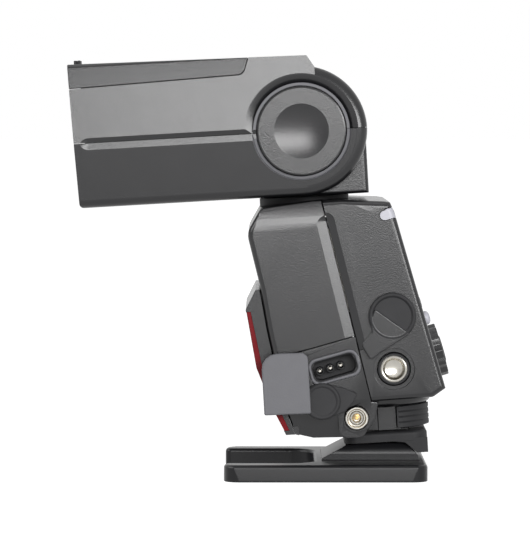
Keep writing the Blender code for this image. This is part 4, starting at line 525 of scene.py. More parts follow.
def turned(profile, centre=(0, 0), across="Y", steps=96):
    """A turned shape from a closed loop of (radius, height) points, about an axis through centre."""
    first, second, along = AXES[across]
    made = start([(centre[0] + radius, centre[1]) for radius, _ in profile], 0, across, "NOTHING")
    for vertex, (_, height) in zip(made.data.vertices, profile):
        vertex.co[along] = height * MM
    middle, axis = Vector((0, 0, 0)), Vector((0, 0, 0))
    middle[first], middle[second] = centre[0] * MM, centre[1] * MM
    axis[along] = 1
    edit_all(
        (bpy.ops.mesh.spin, {"steps": steps, "angle": 2 * math.pi, "center": middle, "axis": axis}),
        MERGE, (bpy.ops.mesh.delete_loose, {}), FACE_OUT,
    )
    return made


def apply(made, kind, **settings):
    """Adds a modifier with its settings and applies it."""
    only(made)
    step = made.modifiers.new(kind.lower(), kind)
    for name, value in settings.items():
        setattr(step, name, value)
    bpy.ops.object.modifier_apply(modifier=step.name)
    return made


def work(made, operation, *others):
    """Works the other shapes into one with Booleans and uses them up."""
    for other in others:
        apply(made, "BOOLEAN", operation=operation, solver="EXACT", object=other, material_mode="TRANSFER")
        bpy.data.objects.remove(other)
    return made


def cut(made, *others):
    return work(made, "DIFFERENCE", *others)


def join(made, *others):
    return work(made, "UNION", *others)


def keep(made, *others):
    return work(made, "INTERSECT", *others)


def bevel(made, width, steps, wanted):
    """Rounds the edges whose two ends, in millimetres, are wanted."""
    only(made)
    bpy.ops.object.mode_set(mode="EDIT")
    bpy.ops.mesh.select_mode(type="EDGE")
    bpy.ops.mesh.select_all(action="DESELECT")
    bpy.ops.object.mode_set(mode="OBJECT")
    for edge in made.data.edges:
        ends = [made.data.vertices[index] for index in edge.vertices]
        edge.select = wanted(ends[0].co / MM, ends[1].co / MM)
        for end in ends:
            end.select = end.select or edge.select
    bpy.ops.object.mode_set(mode="EDIT")
    bpy.ops.mesh.bevel(offset=width, segments=steps, affect="EDGES", clamp_overlap=False)
    edit_all(MERGE)
    return made


def copy_of(node, place):
    """A merged copy of a CAD node's mesh in the frame given by place."""
    made = bpy.data.objects.new("copy", frame["nodes"][node].data.copy())
    bpy.context.scene.collection.objects.link(made)
    made.data.transform(place.inverted())
    only(made)
    edit_all(MERGE)
    return made


def extent(mesh):
    """The lowest and highest corner of a mesh."""
    return [[limit(vertex.co[axis] for vertex in mesh.vertices) for axis in range(3)] for limit in (min, max)]


def soften(made, width):
    """Rounds a shape's sharp edges, by less where the full width would throw points out of its box."""
    plain = made.data.copy()
    (low, high) = extent(plain)
    for share in (1.0, 0.5, 0.25, 0.1):
        apply(
            made, "BEVEL", width=width * share, segments=2, limit_method="ANGLE",
            angle_limit=math.radians(BEVEL_FROM), use_clamp_overlap=False,
        )
        (new_low, new_high) = extent(made.data)
        strays = [old - new for old, new in zip(low, new_low)] + [new - old for old, new in zip(high, new_high)]
        if max(strays) < 5 * SLIVER:
            return
        made.data = plain.copy()


def settle(made, node, place, slot, soft=1.0, smooth=SMOOTH, painted=False):
    """Softens a shape's edges and puts it where its CAD node is, with its name and, unless painted, its finish."""
    only(made)
    edit_all(
        (bpy.ops.mesh.remove_doubles, {"threshold": SLIVER}), (bpy.ops.mesh.dissolve_degenerate, {"threshold": SLIVER}),
    )
    if soft:
        soften(made, sizes().soft_edge * soft)
    only(made)
    bpy.ops.object.shade_smooth_by_angle(angle=math.radians(smooth))
    apply(made, "WEIGHTED_NORMAL", weight=100, keep_sharp=True)
    made.matrix_world = place
    bpy.ops.object.transform_apply(location=True, rotation=True, scale=True)
    made.name = f"{node}_look"
    made.data.name = made.name
    if not painted:
        tint(made, slot)
    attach(made, BODY_OF[node])
    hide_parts(node)
    return made


def tint(made, slot):
    """Gives a shape one finish all over."""
    made.data.materials.clear()
    made.data.materials.append(finish(slot))
    return made


def tilted(outline, centre):
    """An outline drawn about its own middle, put down at centre along the sloping seam of the base."""
    slope = math.atan(LEVEL_SLOPE)
    return [
        (centre[0] + x * math.cos(slope) - z * math.sin(slope), centre[1] + x * math.sin(slope) + z * math.cos(slope))
        for x, z in outline
    ]


def pill(length, height, radius):
    """A rounded rectangle about the middle of an outline's plane."""
    return rounded(
        (-length / 2, -height / 2, radius), (length / 2, -height / 2, radius), (length / 2, height / 2, radius),
        (-length / 2, height / 2, radius), steps=9,
    )


def flatten(made):
    """Joins up the flat facets of a shape."""
    only(made)
    edit_all((bpy.ops.mesh.dissolve_limited, {"angle_limit": math.radians(1)}))
    return made


def refine(node, place, slot, soft=1.0):
    """A CAD node whose shape is right, with its edges softened."""
    return settle(flatten(copy_of(node, place)), node, place, slot, soft, CAD_SMOOTH)


def head_section(top_half=HEAD_SLIM, knee=0.0, top_radius=HEAD_ROUND):
    """The head seen from the front as a long block, leaning in to top_half from a knee above the seam."""
    knee_half = HEAD_HALF - draft(1) * knee
    outline = rounded(
        (-HEAD_SLIM, HEAD_BOTTOM, BOTTOM_RADIUS), (HEAD_SLIM, HEAD_BOTTOM, BOTTOM_RADIUS), (HEAD_HALF, 0),
        (knee_half, knee + HAIR), (top_half, HEAD_TOP, top_radius), (-top_half, HEAD_TOP, top_radius),
        (-knee_half, knee + HAIR), (-HEAD_HALF, 0),
    )
    return slab(outline, -LARGE, LARGE, "X")


def front_x(z):
    """The raked front of the head."""
    return HEAD_FRONT + FRONT_RAKE * (HEAD_TOP - z) / (HEAD_TOP - HEAD_BOTTOM)


def draft(half):
    """How fast the side of the head's upper (1) or lower (-1) half leans in."""
    return (HEAD_HALF - HEAD_SLIM) / abs(HEAD_TOP if half > 0 else HEAD_BOTTOM)


def lean_with_side(made, side, half):
    """Tilts a shape drawn on a flat face so that the face lies in that half of the head's side."""
    made.data.transform(Matrix.Rotation(side * half * math.atan(draft(half)), 4, "X"))
    made.data.transform(Matrix.Translation((0, side * HEAD_HALF * MM, 0)))
    return made


def hub(side, half):
    """One round cheek, with its face in the plane of the head's side and a rounded rim."""
    edge = sizes().hub_edge / MM
    profile = [(0, HUB_ROOT - HEAD_HALF), (HUB_RADIUS, HUB_ROOT - HEAD_HALF)]
    for step in range(ARC_STEPS + 1):
        turn = math.pi / 2 * step / ARC_STEPS
        profile.append((HUB_RADIUS - edge * (1 - math.cos(turn)), -HAIR - edge * (1 - math.sin(turn))))
    profile.append((0, -HAIR))
    return lean_with_side(turned([(radius, side * height) for radius, height in profile]), side, half)


def cove(side):
    """Cutter for the dished ring round the upper half of a hub, shallower towards the seam in front."""
    depth = sizes().cove_depth / MM
    profile = [(COVE_FOOT, 4 * PAST), (COVE_RADIUS, 4 * PAST)]
    for step in range(ARC_STEPS + 1):
        share = step / ARC_STEPS
        sink = depth * (COVE_SLOPE * share + (1 - COVE_SLOPE) * share * share)
        profile.append((COVE_RADIUS + (COVE_FOOT - COVE_RADIUS) * share, COVE_START - sink))
    made = turned([(radius, side * height) for radius, height in profile])
    for vertex in made.data.vertices:
        height = side * vertex.co.y / MM
        if height < PAST:
            rise = max(vertex.co.x, vertex.co.z, 0) / MM / COVE_FULL
            share = min(COVE_LEAST + (1 - COVE_LEAST) * rise, 1)
            vertex.co.y = side * (COVE_START + (height - COVE_START) * share) * MM
    return lean_with_side(made, side, 1)


def lip(side, half):
    """Cutter that leaves the lip round a hub's pocket with a flat top and sloping edges, and paints the faces it cuts
    light grey as a painted highlight on the lip.
    """
    made = tint(turned([(radius, side * height) for radius, height in LIP_PROFILE]), "grey_rubber")
    return lean_with_side(made, side, half)


def valley(outline, ridge, face, floor):
    """Cutter for a groove: an outline on the face of a side, drawn in to a ridge along its floor."""
    made = slab(outline, face, floor)
    for vertex in made.data.vertices:
        if abs(vertex.co.y / MM - floor) < HAIR:
            x, z = ridge(vertex.co.x / MM, vertex.co.z / MM)
            vertex.co.x, vertex.co.z = x * MM, z * MM
    edit_all(MERGE, FACE_OUT)
    return made


def side_groove(side):
    """Cutter for the groove along the seam of the head, with its round front end."""
    face = HEAD_HALF + GROOVE_PAST
    floor = HEAD_HALF - sizes().head_groove / MM
    reach = (GROOVE_HIGH - GROOVE_LOW) / 2
    end = GROOVE_FRONT + reach
    outline = rounded(
        (GROOVE_REAR, GROOVE_HIGH), (GROOVE_FRONT, GROOVE_HIGH, reach - HAIR),
        (GROOVE_FRONT, GROOVE_LOW, reach - HAIR), (GROOVE_REAR, GROOVE_LOW),
    )
    return valley(outline, lambda x, z: (max(x, end), GROOVE_APEX), side * face, side * floor)


def neck_room():
    """Cutter for the round room that the neck turns in, open to the rear and below."""
    first = math.pi + math.asin(math.sqrt(1 - ROOM_FRONT * ROOM_FRONT))
    steps = 40
    turns = [first + (math.pi / 2 - first) * step / steps for step in range(steps + 1)]
    arc = [(NECK_ROOM * math.cos(turn), NECK_ROOM * math.sin(turn)) for turn in turns]
    return slab([(arc[0][0], -LARGE), *arc, (LARGE, NECK_ROOM), (LARGE, -LARGE)], -EAR_INNER, EAR_INNER)


def head_cutters():
    """What both halves of the head leave out: the neck's room, the lens window and the hub pockets."""
    return [
        neck_room(),
        block((-LARGE, CAVITY[0][0] + PAST), (-WINDOW_HALF, WINDOW_HALF), WINDOW_Z),
        slab(ring(POCKET_RADIUS), -HEAD_HALF - POCKET_PAST, -POCKET_FLOOR),
        slab(ring(POCKET_RADIUS), CAP_POCKET, HEAD_HALF + POCKET_PAST),
        slab(ring(AXLE_ROOM, 32), -AXLE_END, AXLE_END),
    ]


def head_half(outline, half):
    """One half of the head from its side outline, with its hubs, coves, groove and hollows."""
    made = keep(slab(outline, -LARGE / 2, LARGE / 2), head_section())
    away = (-LARGE, SEAM / 2) if half > 0 else (-SEAM / 2, LARGE)
    for side in (-1, 1):
        join(made, cut(hub(side, half), block((-LARGE, LARGE), (-LARGE, LARGE), away)))
    tint(made, "black_abs")
    for side in (-1, 1):
        # Each lip cutter paints the lip light grey: a painted highlight
        cut(made, *[cove(side)] if half > 0 else [], side_groove(side), lip(side, half))
    cut(made, *head_cutters())
    low, high = (CAVITY_FLOOR, PAST) if half < 0 else (-PAST, CAVITY_ROOF)
    return cut(made, block(*CAVITY, (low, high)))


class FLASH_OT_head_shells(bpy.types.Operator):
    """Models the upper and lower shells of the flash head"""

    bl_idname = "flash.head_shells"
    bl_label = "Head shells"

    def execute(self, context):
        upper = rounded(
            (front_x(0), SEAM / 2), (front_x(COVER_LINE), COVER_LINE),
            (COVER_END, COVER_LINE + COVER_RISE, COVER_CORNER), COVER_BACK, *REAR_LIP, (REAR_LIP[-1][0], SEAM / 2),
        )
        flat = HUB_RADIUS - sizes().hub_edge / MM - SEAM
        lower = rounded(
            (front_x(0), -SEAM / 2), (front_x(HEAD_BOTTOM), HEAD_BOTTOM, LIP_RADIUS), (BOTTOM_END[0], HEAD_BOTTOM),
            (0, HEAD_BOTTOM + BOTTOM_END[1]), *ring(flat, REAR_STEPS)[REAR_STEPS * 3 // 4 + 1:],
            (flat, -SEAM), (0, -SEAM), (0, -SEAM / 2),
        )
        settle(head_half(upper, 1), "head_upper_shell", HEAD, "black_abs", 0.8, painted=True)
        settle(head_half(lower, -1), "head_lower_shell", HEAD, "black_abs", 0.8, painted=True)
        return {"FINISHED"}


class FLASH_OT_top_cover(bpy.types.Operator):
    """Models the cover over the pull-out panels"""

    bl_idname = "flash.top_cover"
    bl_label = "Top cover"

    def execute(self, context):
        line = COVER_LINE + SEAM
        end = COVER_END - SEAM
        made = slab(rounded(
            (front_x(line), line), (end, line + COVER_RISE, COVER_CORNER),
            (COVER_BACK[0] - SEAM, COVER_BACK[1]), (HEAD_FRONT, HEAD_TOP),
        ), -LARGE / 2, LARGE / 2)
        keep(made, head_section(COVER_TOP, COVER_LINE, COVER_ROUND))
        cut(made, block(*COVER_ROOM), block(*TAB_NOTCH))
        settle(made, "head_top_cover", HEAD, "black_abs", 1.2)
        return {"FINISHED"}


class FLASH_OT_lens(bpy.types.Operator):
    """Models the ridged front lens and the pull-out panels"""

    bl_idname = "flash.lens"
    bl_label = "Lens and panels"

    def execute(self, context):
        low, high = LENS_Z
        pitch = sizes().lens_ridge / MM
        count = int((high - low) / pitch)
        ridges = []
        for index in range(count):
            z = low + (high - low) * index / count
            ridges += [(LENS_VALLEY[0], z + LENS_VALLEY[1]), (LENS_CREST[0], z + pitch * LENS_CREST[1])]
        lens = slab([(LENS_BACK, low), *ridges, (LENS_BACK, high)], -LENS_HALF, LENS_HALF)
        settle(lens, "front_lens", HEAD, "clear_plastic", 0)
        refine("wide_panel", HEAD, "clear_plastic", 0.8)
        card = tint(copy_of("bounce_card", HEAD), "white_plastic")
        cut(card, block(*CAD_TAB))
        low, middle, high = TAB_Z
        grip = block((TAB_TEETH[0][0], TAB_TEETH[1][1]), TAB_Y, (low, middle))
        join(grip, *[block(tooth, TAB_Y, (low, high)) for tooth in TAB_TEETH])
        join(card, tint(grip, "soft_rubber"))
        settle(card, "bounce_card", HEAD, "white_plastic", 0.6, painted=True)
        return {"FINISHED"}


class FLASH_OT_hub_buttons(bpy.types.Operator):
    """Models the tilt button with its finger dimple, and the plain cap in the far hub"""

    bl_idname = "flash.hub_buttons"
    bl_label = "Hub buttons"

    def execute(self, context):
        rim = [(BUTTON_RADIUS - inset, drop) for inset, drop in BUTTON_RIM]
        face = BUTTON_FACE
        profile = []
        for step in range(ARC_STEPS + 1):
            share = step / ARC_STEPS
            profile.append((DIMPLE_RADIUS * share, face + DIMPLE_DEPTH * (1 - share * share)))
        profile += [
            (DIMPLE_RADIUS + DIMPLE_EDGE, face), *[(radius, face + drop) for radius, drop in rim],
            (BUTTON_RADIUS, face + BUTTON_DEPTH), (BUTTON_BORE, face + BUTTON_DEPTH),
            (BUTTON_BORE, face + BUTTON_WALL), (0, face + BUTTON_WALL),
        ]
        settle(turned(profile), "tilt_button", HEAD, "black_abs", 0)
        face = -BUTTON_FACE
        outside = [(radius, face - drop) for radius, drop in [*reversed(rim), *CAP_RING]]
        profile = [(0, CAP_FLOOR), (BUTTON_RADIUS, CAP_FLOOR), *outside, (0, face)]
        settle(turned(profile), "hub_cap", HEAD, "black_abs", 0)
        return {"FINISHED"}


class FLASH_OT_neck(bpy.types.Operator):
    """Models the turning neck between body and head"""

    bl_idname = "flash.neck"
    bl_label = "Neck"

    def execute(self, context):
        made = flatten(copy_of("neck", HEAD))
        bevel(
            made, NECK_EDGE * MM, 4,
            lambda a, b: min(abs(a.y), abs(b.y)) > NECK_HALF - NEAR and a.y * b.y > 0
            and min(a.xz.length, b.xz.length) > NECK_AXLE,
        )
        settle(made, "neck", HEAD, "black_abs", 0.8, CAD_SMOOTH)
        # A black rubber ring joined under the washer down to the body top: painted shade, filling the gap under the
        # head where it lies in shadow
        low, high = SHADE_FILL_Z
        shade_fill = turned([(SHADE_FILL[0], low), (SHADE_FILL[1], low), (SHADE_FILL[1], high), (SHADE_FILL[0], high)], (SWIVEL_X, 0), "Z")
        washer = join(copy_of("swivel_washer", FLASH), cut(shade_fill, body_block()))
        settle(washer, "swivel_washer", FLASH, "soft_rubber", 0)
        return {"FINISHED"}


def seam_x(z):
    """The upright seam between the body's shells, at a height."""
    return SEAM_FOOT[0] - (z - SEAM_FOOT[1]) * SEAM_SLOPE


def body_block():
    """The whole body as one block, a hair larger than the CAD's, with the edges of its sides rounded."""
    half = BODY_HALF + HAIR
    made = slab(rounded(*BODY_SIDE), -half, half)
    made.data.transform(Matrix.Scale(1 + HAIR / BODY_HALF, 4, (1, 0, 0)))
    return bevel(made, sizes().body_edge, ARC_STEPS, lambda a, b: a.y * b.y > 0)


def shoulder():
    """Cutter for the soft slope along the top of the near side."""
    outside = -BODY_HALF - 2 * PAST
    return slab([(outside, SHOULDER[-1][1]), (outside, SHOULDER[0][1]), *SHOULDER], -LARGE, LARGE, "X")


def body_groove():
    """Cutter for the groove along the upright seam on the near side, with its round top end."""
    face = -BODY_HALF - GROOVE_PAST
    floor = -BODY_HALF + sizes().body_groove / MM
    top = (GROOVE_TOP - GROOVE_FOOT) - (GROOVE_RIGHT - GROOVE_LEFT) / 2
    reach = (GROOVE_RIGHT - GROOVE_LEFT) / 2 - HAIR
    outline = rounded(
        (GROOVE_LEFT, 0), (GROOVE_RIGHT, 0), (GROOVE_RIGHT, GROOVE_TOP - GROOVE_FOOT, reach),
        (GROOVE_LEFT, GROOVE_TOP - GROOVE_FOOT, reach),
    )
    made = valley(outline, lambda x, z: (0, min(z, top)), face, floor)
    made.data.transform(Matrix.Rotation(-math.atan(SEAM_SLOPE), 4, "Y"))
    made.data.transform(Matrix.Translation(Vector((seam_x(GROOVE_FOOT), 0, GROOVE_FOOT)) * MM))
    return made


def strip_end(margin):
    """The near end of the pale strip, let into the side wall, with a margin of room round it."""
    half, reach = STRIP_HALF + margin, STRIP_REACH + margin
    outline = rounded((-reach, -half, half - HAIR), (PAST, -half), (PAST, half), (-reach, half, half - HAIR))
    across, up = math.cos(math.radians(REAR_TILT)), math.sin(math.radians(REAR_TILT))
    placed = [(STRIP_FOOT[0] + x * across - z * up, STRIP_FOOT[1] + x * up + z * across) for x, z in outline]
    return slab(placed, -BODY_HALF - PAST, -BODY_HALF + STRIP_DEPTH + margin)


class FLASH_OT_body_shells(bpy.types.Operator):
    """Models the front and rear shells of the body and the battery door"""

    bl_idname = "flash.body_shells"
    bl_label = "Body shells"

    def execute(self, context):
        for node, cutter, smooth in (
            ("front_shell", shoulder(), BODY_SMOOTH), ("rear_shell", strip_end(SEAM), SMOOTH),
        ):
            made = keep(copy_of(node, FLASH), body_block())
            cut(tint(made, "black_abs"), cutter, body_groove())
            settle(made, node, FLASH, "black_abs", 0.8, smooth, painted=True)
        refine("battery_door", FLASH, "black_abs", 1.5)
        strip = keep(join(copy_of("rear_trim_strip", FLASH), strip_end(0)), body_block())
        settle(strip, "rear_trim_strip", FLASH, "pale_plastic", 0.8)
        return {"FINISHED"}


class FLASH_OT_base_housing(bpy.types.Operator):
    """Models the terminal housing under the front shell"""

    bl_idname = "flash.base_housing"
    bl_label = "Base housing"

    def execute(self, context):
        made = copy_of("base_housing", FLASH)
        boss = slab(rounded(*BOSS), BOSS_FACE, BOSS_FACE + BOSS_DEPTH)
        bevel(boss, BOSS_EDGE * MM, 3, lambda a, b: max(a.y, b.y) < BOSS_FACE + SEAM)
        cut(boss, slab(ring(BOSS_BORE, 64, SYNC_CENTRE), -BODY_HALF - PAST, 0))
        join(made, slab(CHIN, -CHIN_HALF, CHIN_HALF))
        settle(join(made, boss), "base_housing", FLASH, "black_abs", 0.8, CAD_SMOOTH)
        return {"FINISHED"}


class FLASH_OT_focus_window(bpy.types.Operator):
    """Models the red focus-assist window with its dark border"""

    bl_idname = "flash.focus_window"
    bl_label = "Focus-assist window"

    def execute(self, context):
        made = tint(copy_of("focus_assist_window", FLASH), "black_abs")
        back = [(x + depth, z) for (x, z), depth in zip(WINDOW_SKIN, WINDOW_DEPTH)]
        core = copy_of("focus_assist_window", FLASH)
        core.data.transform(Matrix.Translation((WINDOW_SINK * MM, 0, 0)) @ Matrix.Scale(WINDOW_NARROW, 4, (0, 1, 0)))
        skin = slab([*back, (-LARGE, back[-1][1]), (-LARGE, back[0][1])], -LARGE, LARGE)
        cut(tint(skin, "red_window"), tint(core, "red_window"))
        cut(made, skin)
        settle(made, "focus_assist_window", FLASH, "red_window", 1.0, painted=True)
        return {"FINISHED"}


class FLASH_OT_rear_controls(bpy.types.Operator):
    """Models the dial, buttons, keys, switch and screen of the rear panel"""

    bl_idname = "flash.rear_controls"
    bl_label = "Rear controls"

    def execute(self, context):
        refine("select_dial", PANEL, "black_abs", 1.6)
        refine("set_button", PANEL, "soft_rubber", 2.0)
        lamp = tint(flatten(copy_of("test_button", PANEL)), "pale_plastic")
        settle(lamp, "test_button", PANEL, "white_plastic", 2.0, CAD_SMOOTH, painted=True)
        refine("power_switch", PANEL, "black_abs", 1.4)
        for index in range(4):
            node = f"function_key_{index + 1}"
            key = keep(flatten(copy_of(node, PANEL)), block((-LARGE, KEY_FACE), (-LARGE, LARGE), (-LARGE, LARGE)))
            settle(key, node, PANEL, "soft_rubber", 1.0, CAD_SMOOTH)
        refine("screen_window", PANEL, "clear_plastic", 1.0)
        return {"FINISHED"}


class FLASH_OT_terminals(bpy.types.Operator):
    """Models the power socket, sync terminal and bracket bush on the near side"""

    bl_idname = "flash.terminals"
    bl_label = "Terminals"

    def execute(self, context):
        self.power_socket()
        settle(turned(SYNC_PROFILE, SYNC_CENTRE), "sync_terminal", FLASH, "bright_steel", 0)
        refine("sync_pin", FLASH, "brass", 0.8)
        bush = tint(turned(BUSH_PROFILE, BRACKET_CENTRE), "bright_steel")
        collar = tint(turned(COLLAR_PROFILE, BRACKET_CENTRE), "gloss_black")
        settle(join(bush, collar), "bracket_bush", FLASH, "bright_steel", 0, painted=True)
        return {"FINISHED"}

    def power_socket(self):
        """The socket's black cup with its rim painted light grey, a painted highlight on its edge, and three thin pins
        in short tubes.
        """
        made = tint(copy_of("power_socket", FLASH), "soft_rubber")
        rim = slab(tilted(pill(*SOCKET_HIGHLIGHT_RIM), SOCKET_CENTRE), *SOCKET_Y)
        cut(rim, slab(tilted(pill(*SOCKET_MOUTH), SOCKET_CENTRE), -LARGE, 0))
        bevel(rim, SOCKET_EDGE * MM, 3, lambda a, b: max(a.y, b.y) < SOCKET_Y[0] + SEAM)
        # The rim's light grey is a painted highlight
        join(made, tint(rim, "grey_rubber"))
        pins = copy_of("socket_pins", FLASH)
        for index in (-1, 0, 1):
            (place,) = tilted([(index * PIN_PITCH + PIN_SHIFT, 0)], SOCKET_CENTRE)
            join(made, tint(turned(PIN_TUBE, place, steps=PIN_STEPS), "soft_rubber"))
            cut(pins, turned(PIN_TRIM, place, steps=PIN_STEPS))
        settle(made, "power_socket", FLASH, "gloss_black", 0, painted=True)
        settle(pins, "socket_pins", FLASH, "bright_steel", 0.4)


class FLASH_OT_rubber_covers(bpy.types.Operator):
    """Models the rubber caps and the flap beside the terminals"""

    bl_idname = "flash.rubber_covers"
    bl_label = "Rubber covers"

    def execute(self, context):
        for node, (centre, radius, strap, sunk, dish, strap_slot) in CAPS.items():
            rim = radius - CAP_RIM
            cap = turned([
                (0, CAP_INNER), (radius - CAP_CHAMFER, CAP_INNER), (radius, CAP_INNER - CAP_CHAMFER),
                *[(radius - inset, CAP_OUTER + drop) for inset, drop in CAP_ROUND], (rim + CAP_SLOPE, CAP_OUTER),
                (rim, CAP_OUTER + dish * DISH_STEP), (rim - CAP_SLOPE, CAP_OUTER + dish), (0, CAP_OUTER + dish),
            ], centre)
            band = slab(rounded(*strap), CAP_OUTER + sunk, CAP_INNER - STRAP_BACK)
            bevel(band, STRAP_EDGE * MM, 3, lambda a, b: max(a.y, b.y) < CAP_OUTER + sunk + SEAM)
            # On the bracket cap the strap's satin finish differs from the cap's rubber as painted light on the lit half
            # of the fold
            join(tint(cap, "soft_rubber"), tint(band, strap_slot))
            settle(cap, node, FLASH, "soft_rubber", 0.6, painted=True)
        refine("socket_flap", FLASH, "grey_rubber", 2.0)
        return {"FINISHED"}


class FLASH_OT_foot(bpy.types.Operator):
    """Models the foot block, lock lever, weather skirt and shoe plate"""

    bl_idname = "flash.foot"
    bl_label = "Foot"

    def execute(self, context):
        made = copy_of("foot_block", FLASH)
        flange = keep(turned(FLANGE, across="Z"), block(*FLANGE_ROOM))
        cut(join(made, slab(FOOT_FILL, -FILL_HALF, FILL_HALF), flange), block(*LEVER_SLOT))
        settle(made, "foot_block", FLASH, "black_abs", 1.6, CAD_SMOOTH)
        profile = [(LEVER_INNER, LEVER_Z[0]), (LEVER_OUTER, LEVER_Z[0])]
        for z in LEVER_RIBS:
            profile += [(LEVER_OUTER, z - RIB_HALF), (LEVER_OUTER - RIB_HALF, z), (LEVER_OUTER, z + RIB_HALF)]
        profile += [(LEVER_OUTER, LEVER_Z[1]), (LEVER_INNER, LEVER_Z[1])]
        lever = keep(turned(profile, across="Z"), block(*LEVER_ROOM))
        trimmed = keep(copy_of("lock_lever", FLASH), slab(ring(LEVER_OUTER - LEVER_TRIM), *LEVER_SPAN, "Z"))
        settle(join(trimmed, lever), "lock_lever", FLASH, "soft_rubber", 0.5, CAD_SMOOTH)
        made = keep(flatten(copy_of("weather_skirt", FLASH)), slab(rounded(*SKIRT_PLAN), *SKIRT_SPAN, "Z"))
        bevel(
            made, SKIRT_EDGE * MM, 8,
            lambda a, b: all(p.z > SKIRT_TOP and max(abs(p.x), abs(p.y)) > SKIRT_CORE for p in (a, b)),
        )
        for side in (-1, 1):
            join(made, slab(SKIRT_LIP, *[side * y for y in SKIRT_SIDE]))
        settle(made, "weather_skirt", FLASH, "soft_rubber", 0.5, CAD_SMOOTH)
        refine("foot_plate", FLASH, "bright_steel", 1.0)
        return {"FINISHED"}


class FLASH_OT_stand(bpy.types.Operator):
    """Models the horseshoe table stand"""

    bl_idname = "flash.stand"
    bl_label = "Table stand"

    def execute(self, context):
        made = keep(flatten(copy_of("stand", WORLD)), slab(rounded(*SHOE_SECTION), -LARGE * 2, LARGE * 2, "X"))
        bevel(
            made, PLATE_EDGE * MM, 8,
            lambda a, b: max(abs(a.z - PLATE_TOP), abs(b.z - PLATE_TOP)) < NEAR
            and (max(abs(a.y), abs(b.y)) > SHOE_HALF or max(a.x, b.x) < SHOE_FRONT),
        )
        settle(made, "stand", WORLD, "gloss_black", 0.8, CAD_SMOOTH)
        return {"FINISHED"}


class FLASH_OT_inner_pieces(bpy.types.Operator):
    """Gives the pieces that are kept as the CAD made them their finishes"""

    bl_idname = "flash.inner_pieces"
    bl_label = "Inner pieces"

    SLOTS = {
        "black_abs": ["zoom_carriage"],
        "gloss_black": ["main_capacitor"],
        "clear_plastic": ["flash_tube", "focus_assist_lamp"],
        "white_plastic": ["display_module"],
        "circuit_board": ["control_board"],
        "bright_steel": [
            "tilt_axle", "swivel_ring", "zoom_guide_near", "zoom_guide_far", "zoom_motor", "zoom_screw",
            "battery_contact_plate", "door_contact_plate", "lock_pin",
        ],
        "mirror_aluminium": ["reflector"],
        "brass": ["foot_contacts", "tripod_bush"],
        "cell_jacket": [f"battery_cell_{index + 1}" for index in range(4)],
    }

    def execute(self, context):
        for slot, nodes in self.SLOTS.items():
            for node in nodes:
                made = tint(frame["nodes"][node], slot)
        return {"FINISHED"}


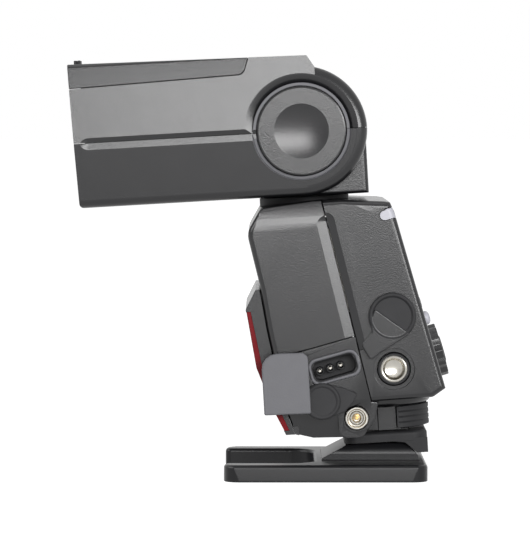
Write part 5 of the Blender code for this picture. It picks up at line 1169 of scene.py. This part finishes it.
class FLASH_OT_stage(bpy.types.Operator):
    """Makes the pale floor, the soft studio light and the camera at the photograph's angle"""

    bl_idname = "flash.stage"
    bl_label = "Stage"

    def execute(self, context):
        self.floor()
        self.world(context.scene)
        for name, settings in LAMPS.items():
            self.lamp(name, *settings)
        self.camera(context.scene)
        context.scene.view_settings.view_transform = "Standard"
        return {"FINISHED"}

    def seen(self, tree, plain, white):
        """Shows the white backdrop to camera, glossy and transmission rays, and the plain shader to the rest."""
        path = add(tree, "ShaderNodeLightPath")
        level = path.outputs["Is Camera Ray"]
        for ray in ("Is Glossy Ray", "Is Transmission Ray"):
            most = add(tree, "ShaderNodeMath", None, {0: level, 1: path.outputs[ray]}, operation="MAXIMUM")
            level = most.outputs[0]
        links = {0: level, 1: plain.outputs[0], 2: white.outputs[0]}
        return add(tree, "ShaderNodeMixShader", None, links).outputs[0]

    def floor(self):
        bpy.ops.object.select_all(action="DESELECT")
        bpy.ops.mesh.primitive_plane_add(size=FLOOR_SIZE)
        floor = bpy.context.object
        floor.name = "studio_floor"
        look = bpy.data.materials.new("paper_white")
        look.use_nodes = True
        tree = look.node_tree
        tree.nodes.clear()
        paper = add(tree, "ShaderNodeBsdfDiffuse", {"Color": (*linear("#a0a0a0"), 1)})
        place = add(tree, "ShaderNodeTexCoord").outputs["Object"]
        far = add(tree, "ShaderNodeVectorMath", None, {0: place}, operation="LENGTH")
        level = add(tree, "ShaderNodeMapRange", FLOOR_GLOW, {"Value": far.outputs["Value"]})
        glow = add(tree, "ShaderNodeEmission", None, {"Strength": level.outputs["Result"]})
        lit = add(tree, "ShaderNodeAddShader", None, {0: paper.outputs[0], 1: glow.outputs[0]})
        add(tree, "ShaderNodeOutputMaterial", None, {"Surface": self.seen(tree, paper, lit)})
        floor.data.materials.append(look)

    def world(self, scene):
        scene.world = bpy.data.worlds.new("white_studio")
        scene.world.use_nodes = True
        tree = scene.world.node_tree
        tree.nodes.clear()
        room = add(tree, "ShaderNodeBackground", {"Color": (1, 1, 1, 1), "Strength": ROOM_LIGHT})
        backdrop = add(tree, "ShaderNodeBackground", {"Color": (1, 1, 1, 1), "Strength": 1.0})
        add(tree, "ShaderNodeOutputWorld", None, {"Surface": self.seen(tree, room, backdrop)})

    def lamp(self, name, direction, distance, size, power):
        """An area light that faces the flash from an azimuth and elevation in degrees."""
        azimuth, elevation = (math.radians(angle) for angle in direction)
        back = Vector((
            math.sin(azimuth) * math.cos(elevation), -math.cos(azimuth) * math.cos(elevation),
            math.sin(elevation),
        ))
        bpy.ops.object.light_add(type="AREA")
        lamp = bpy.context.object
        lamp.name = name
        lamp.data.shape = "RECTANGLE"
        lamp.data.size, lamp.data.size_y = size
        lamp.data.energy = power
        lamp.location = LAMP_AIM + back * distance
        lamp.rotation_mode = "QUATERNION"
        lamp.rotation_quaternion = (-back).to_track_quat("-Z", "Y")
        lamp.visible_camera = False

    def camera(self, scene):
        bpy.ops.object.camera_add(location=CAMERA_PLACE)
        camera = bpy.context.object
        camera.name = "photo_camera"
        camera.rotation_euler = (math.radians(90 - CAMERA_DROP), 0, 0)
        camera.data.lens = CAMERA_LENS
        camera.data.clip_end = 100
        scene.camera = camera


class FLASH_PT_pieces(bpy.types.Panel):
    """Lists the colours, the sizes and the pieces of the flash"""

    bl_idname = "FLASH_PT_pieces"
    bl_label = "Flash"
    bl_space_type = "VIEW_3D"
    bl_region_type = "UI"
    bl_category = "Flash"

    def draw(self, context):
        for group in (context.scene.flash_colours, context.scene.flash_sizes):
            for name in group.bl_rna.properties.keys():
                if name not in ("rna_type", "name"):
                    self.layout.prop(group, name)
        for operator in OPERATORS:
            self.layout.operator(operator.bl_idname)


OPERATORS = (
    FLASH_OT_stage, FLASH_OT_stand, FLASH_OT_foot, FLASH_OT_base_housing, FLASH_OT_body_shells,
    FLASH_OT_focus_window, FLASH_OT_terminals, FLASH_OT_rubber_covers, FLASH_OT_rear_controls, FLASH_OT_neck,
    FLASH_OT_head_shells, FLASH_OT_top_cover, FLASH_OT_lens, FLASH_OT_hub_buttons, FLASH_OT_inner_pieces,
)
CLASSES = (FlashColours, FlashSizes, *OPERATORS, FLASH_PT_pieces)


def register():
    for kind in CLASSES:
        bpy.utils.register_class(kind)
    bpy.types.Scene.flash_colours = bpy.props.PointerProperty(type=FlashColours)
    bpy.types.Scene.flash_sizes = bpy.props.PointerProperty(type=FlashSizes)


def unregister():
    del bpy.types.Scene.flash_sizes
    del bpy.types.Scene.flash_colours
    for kind in reversed(CLASSES):
        bpy.utils.unregister_class(kind)


def main():
    register()
    for old in [made for made in bpy.data.objects if made.type in ("CAMERA", "LIGHT")]:
        bpy.data.objects.remove(old)
    for operator in OPERATORS:
        area, name = operator.bl_idname.split(".")
        getattr(getattr(bpy.ops, area), name)()


if __name__ == "__main__":
    main()
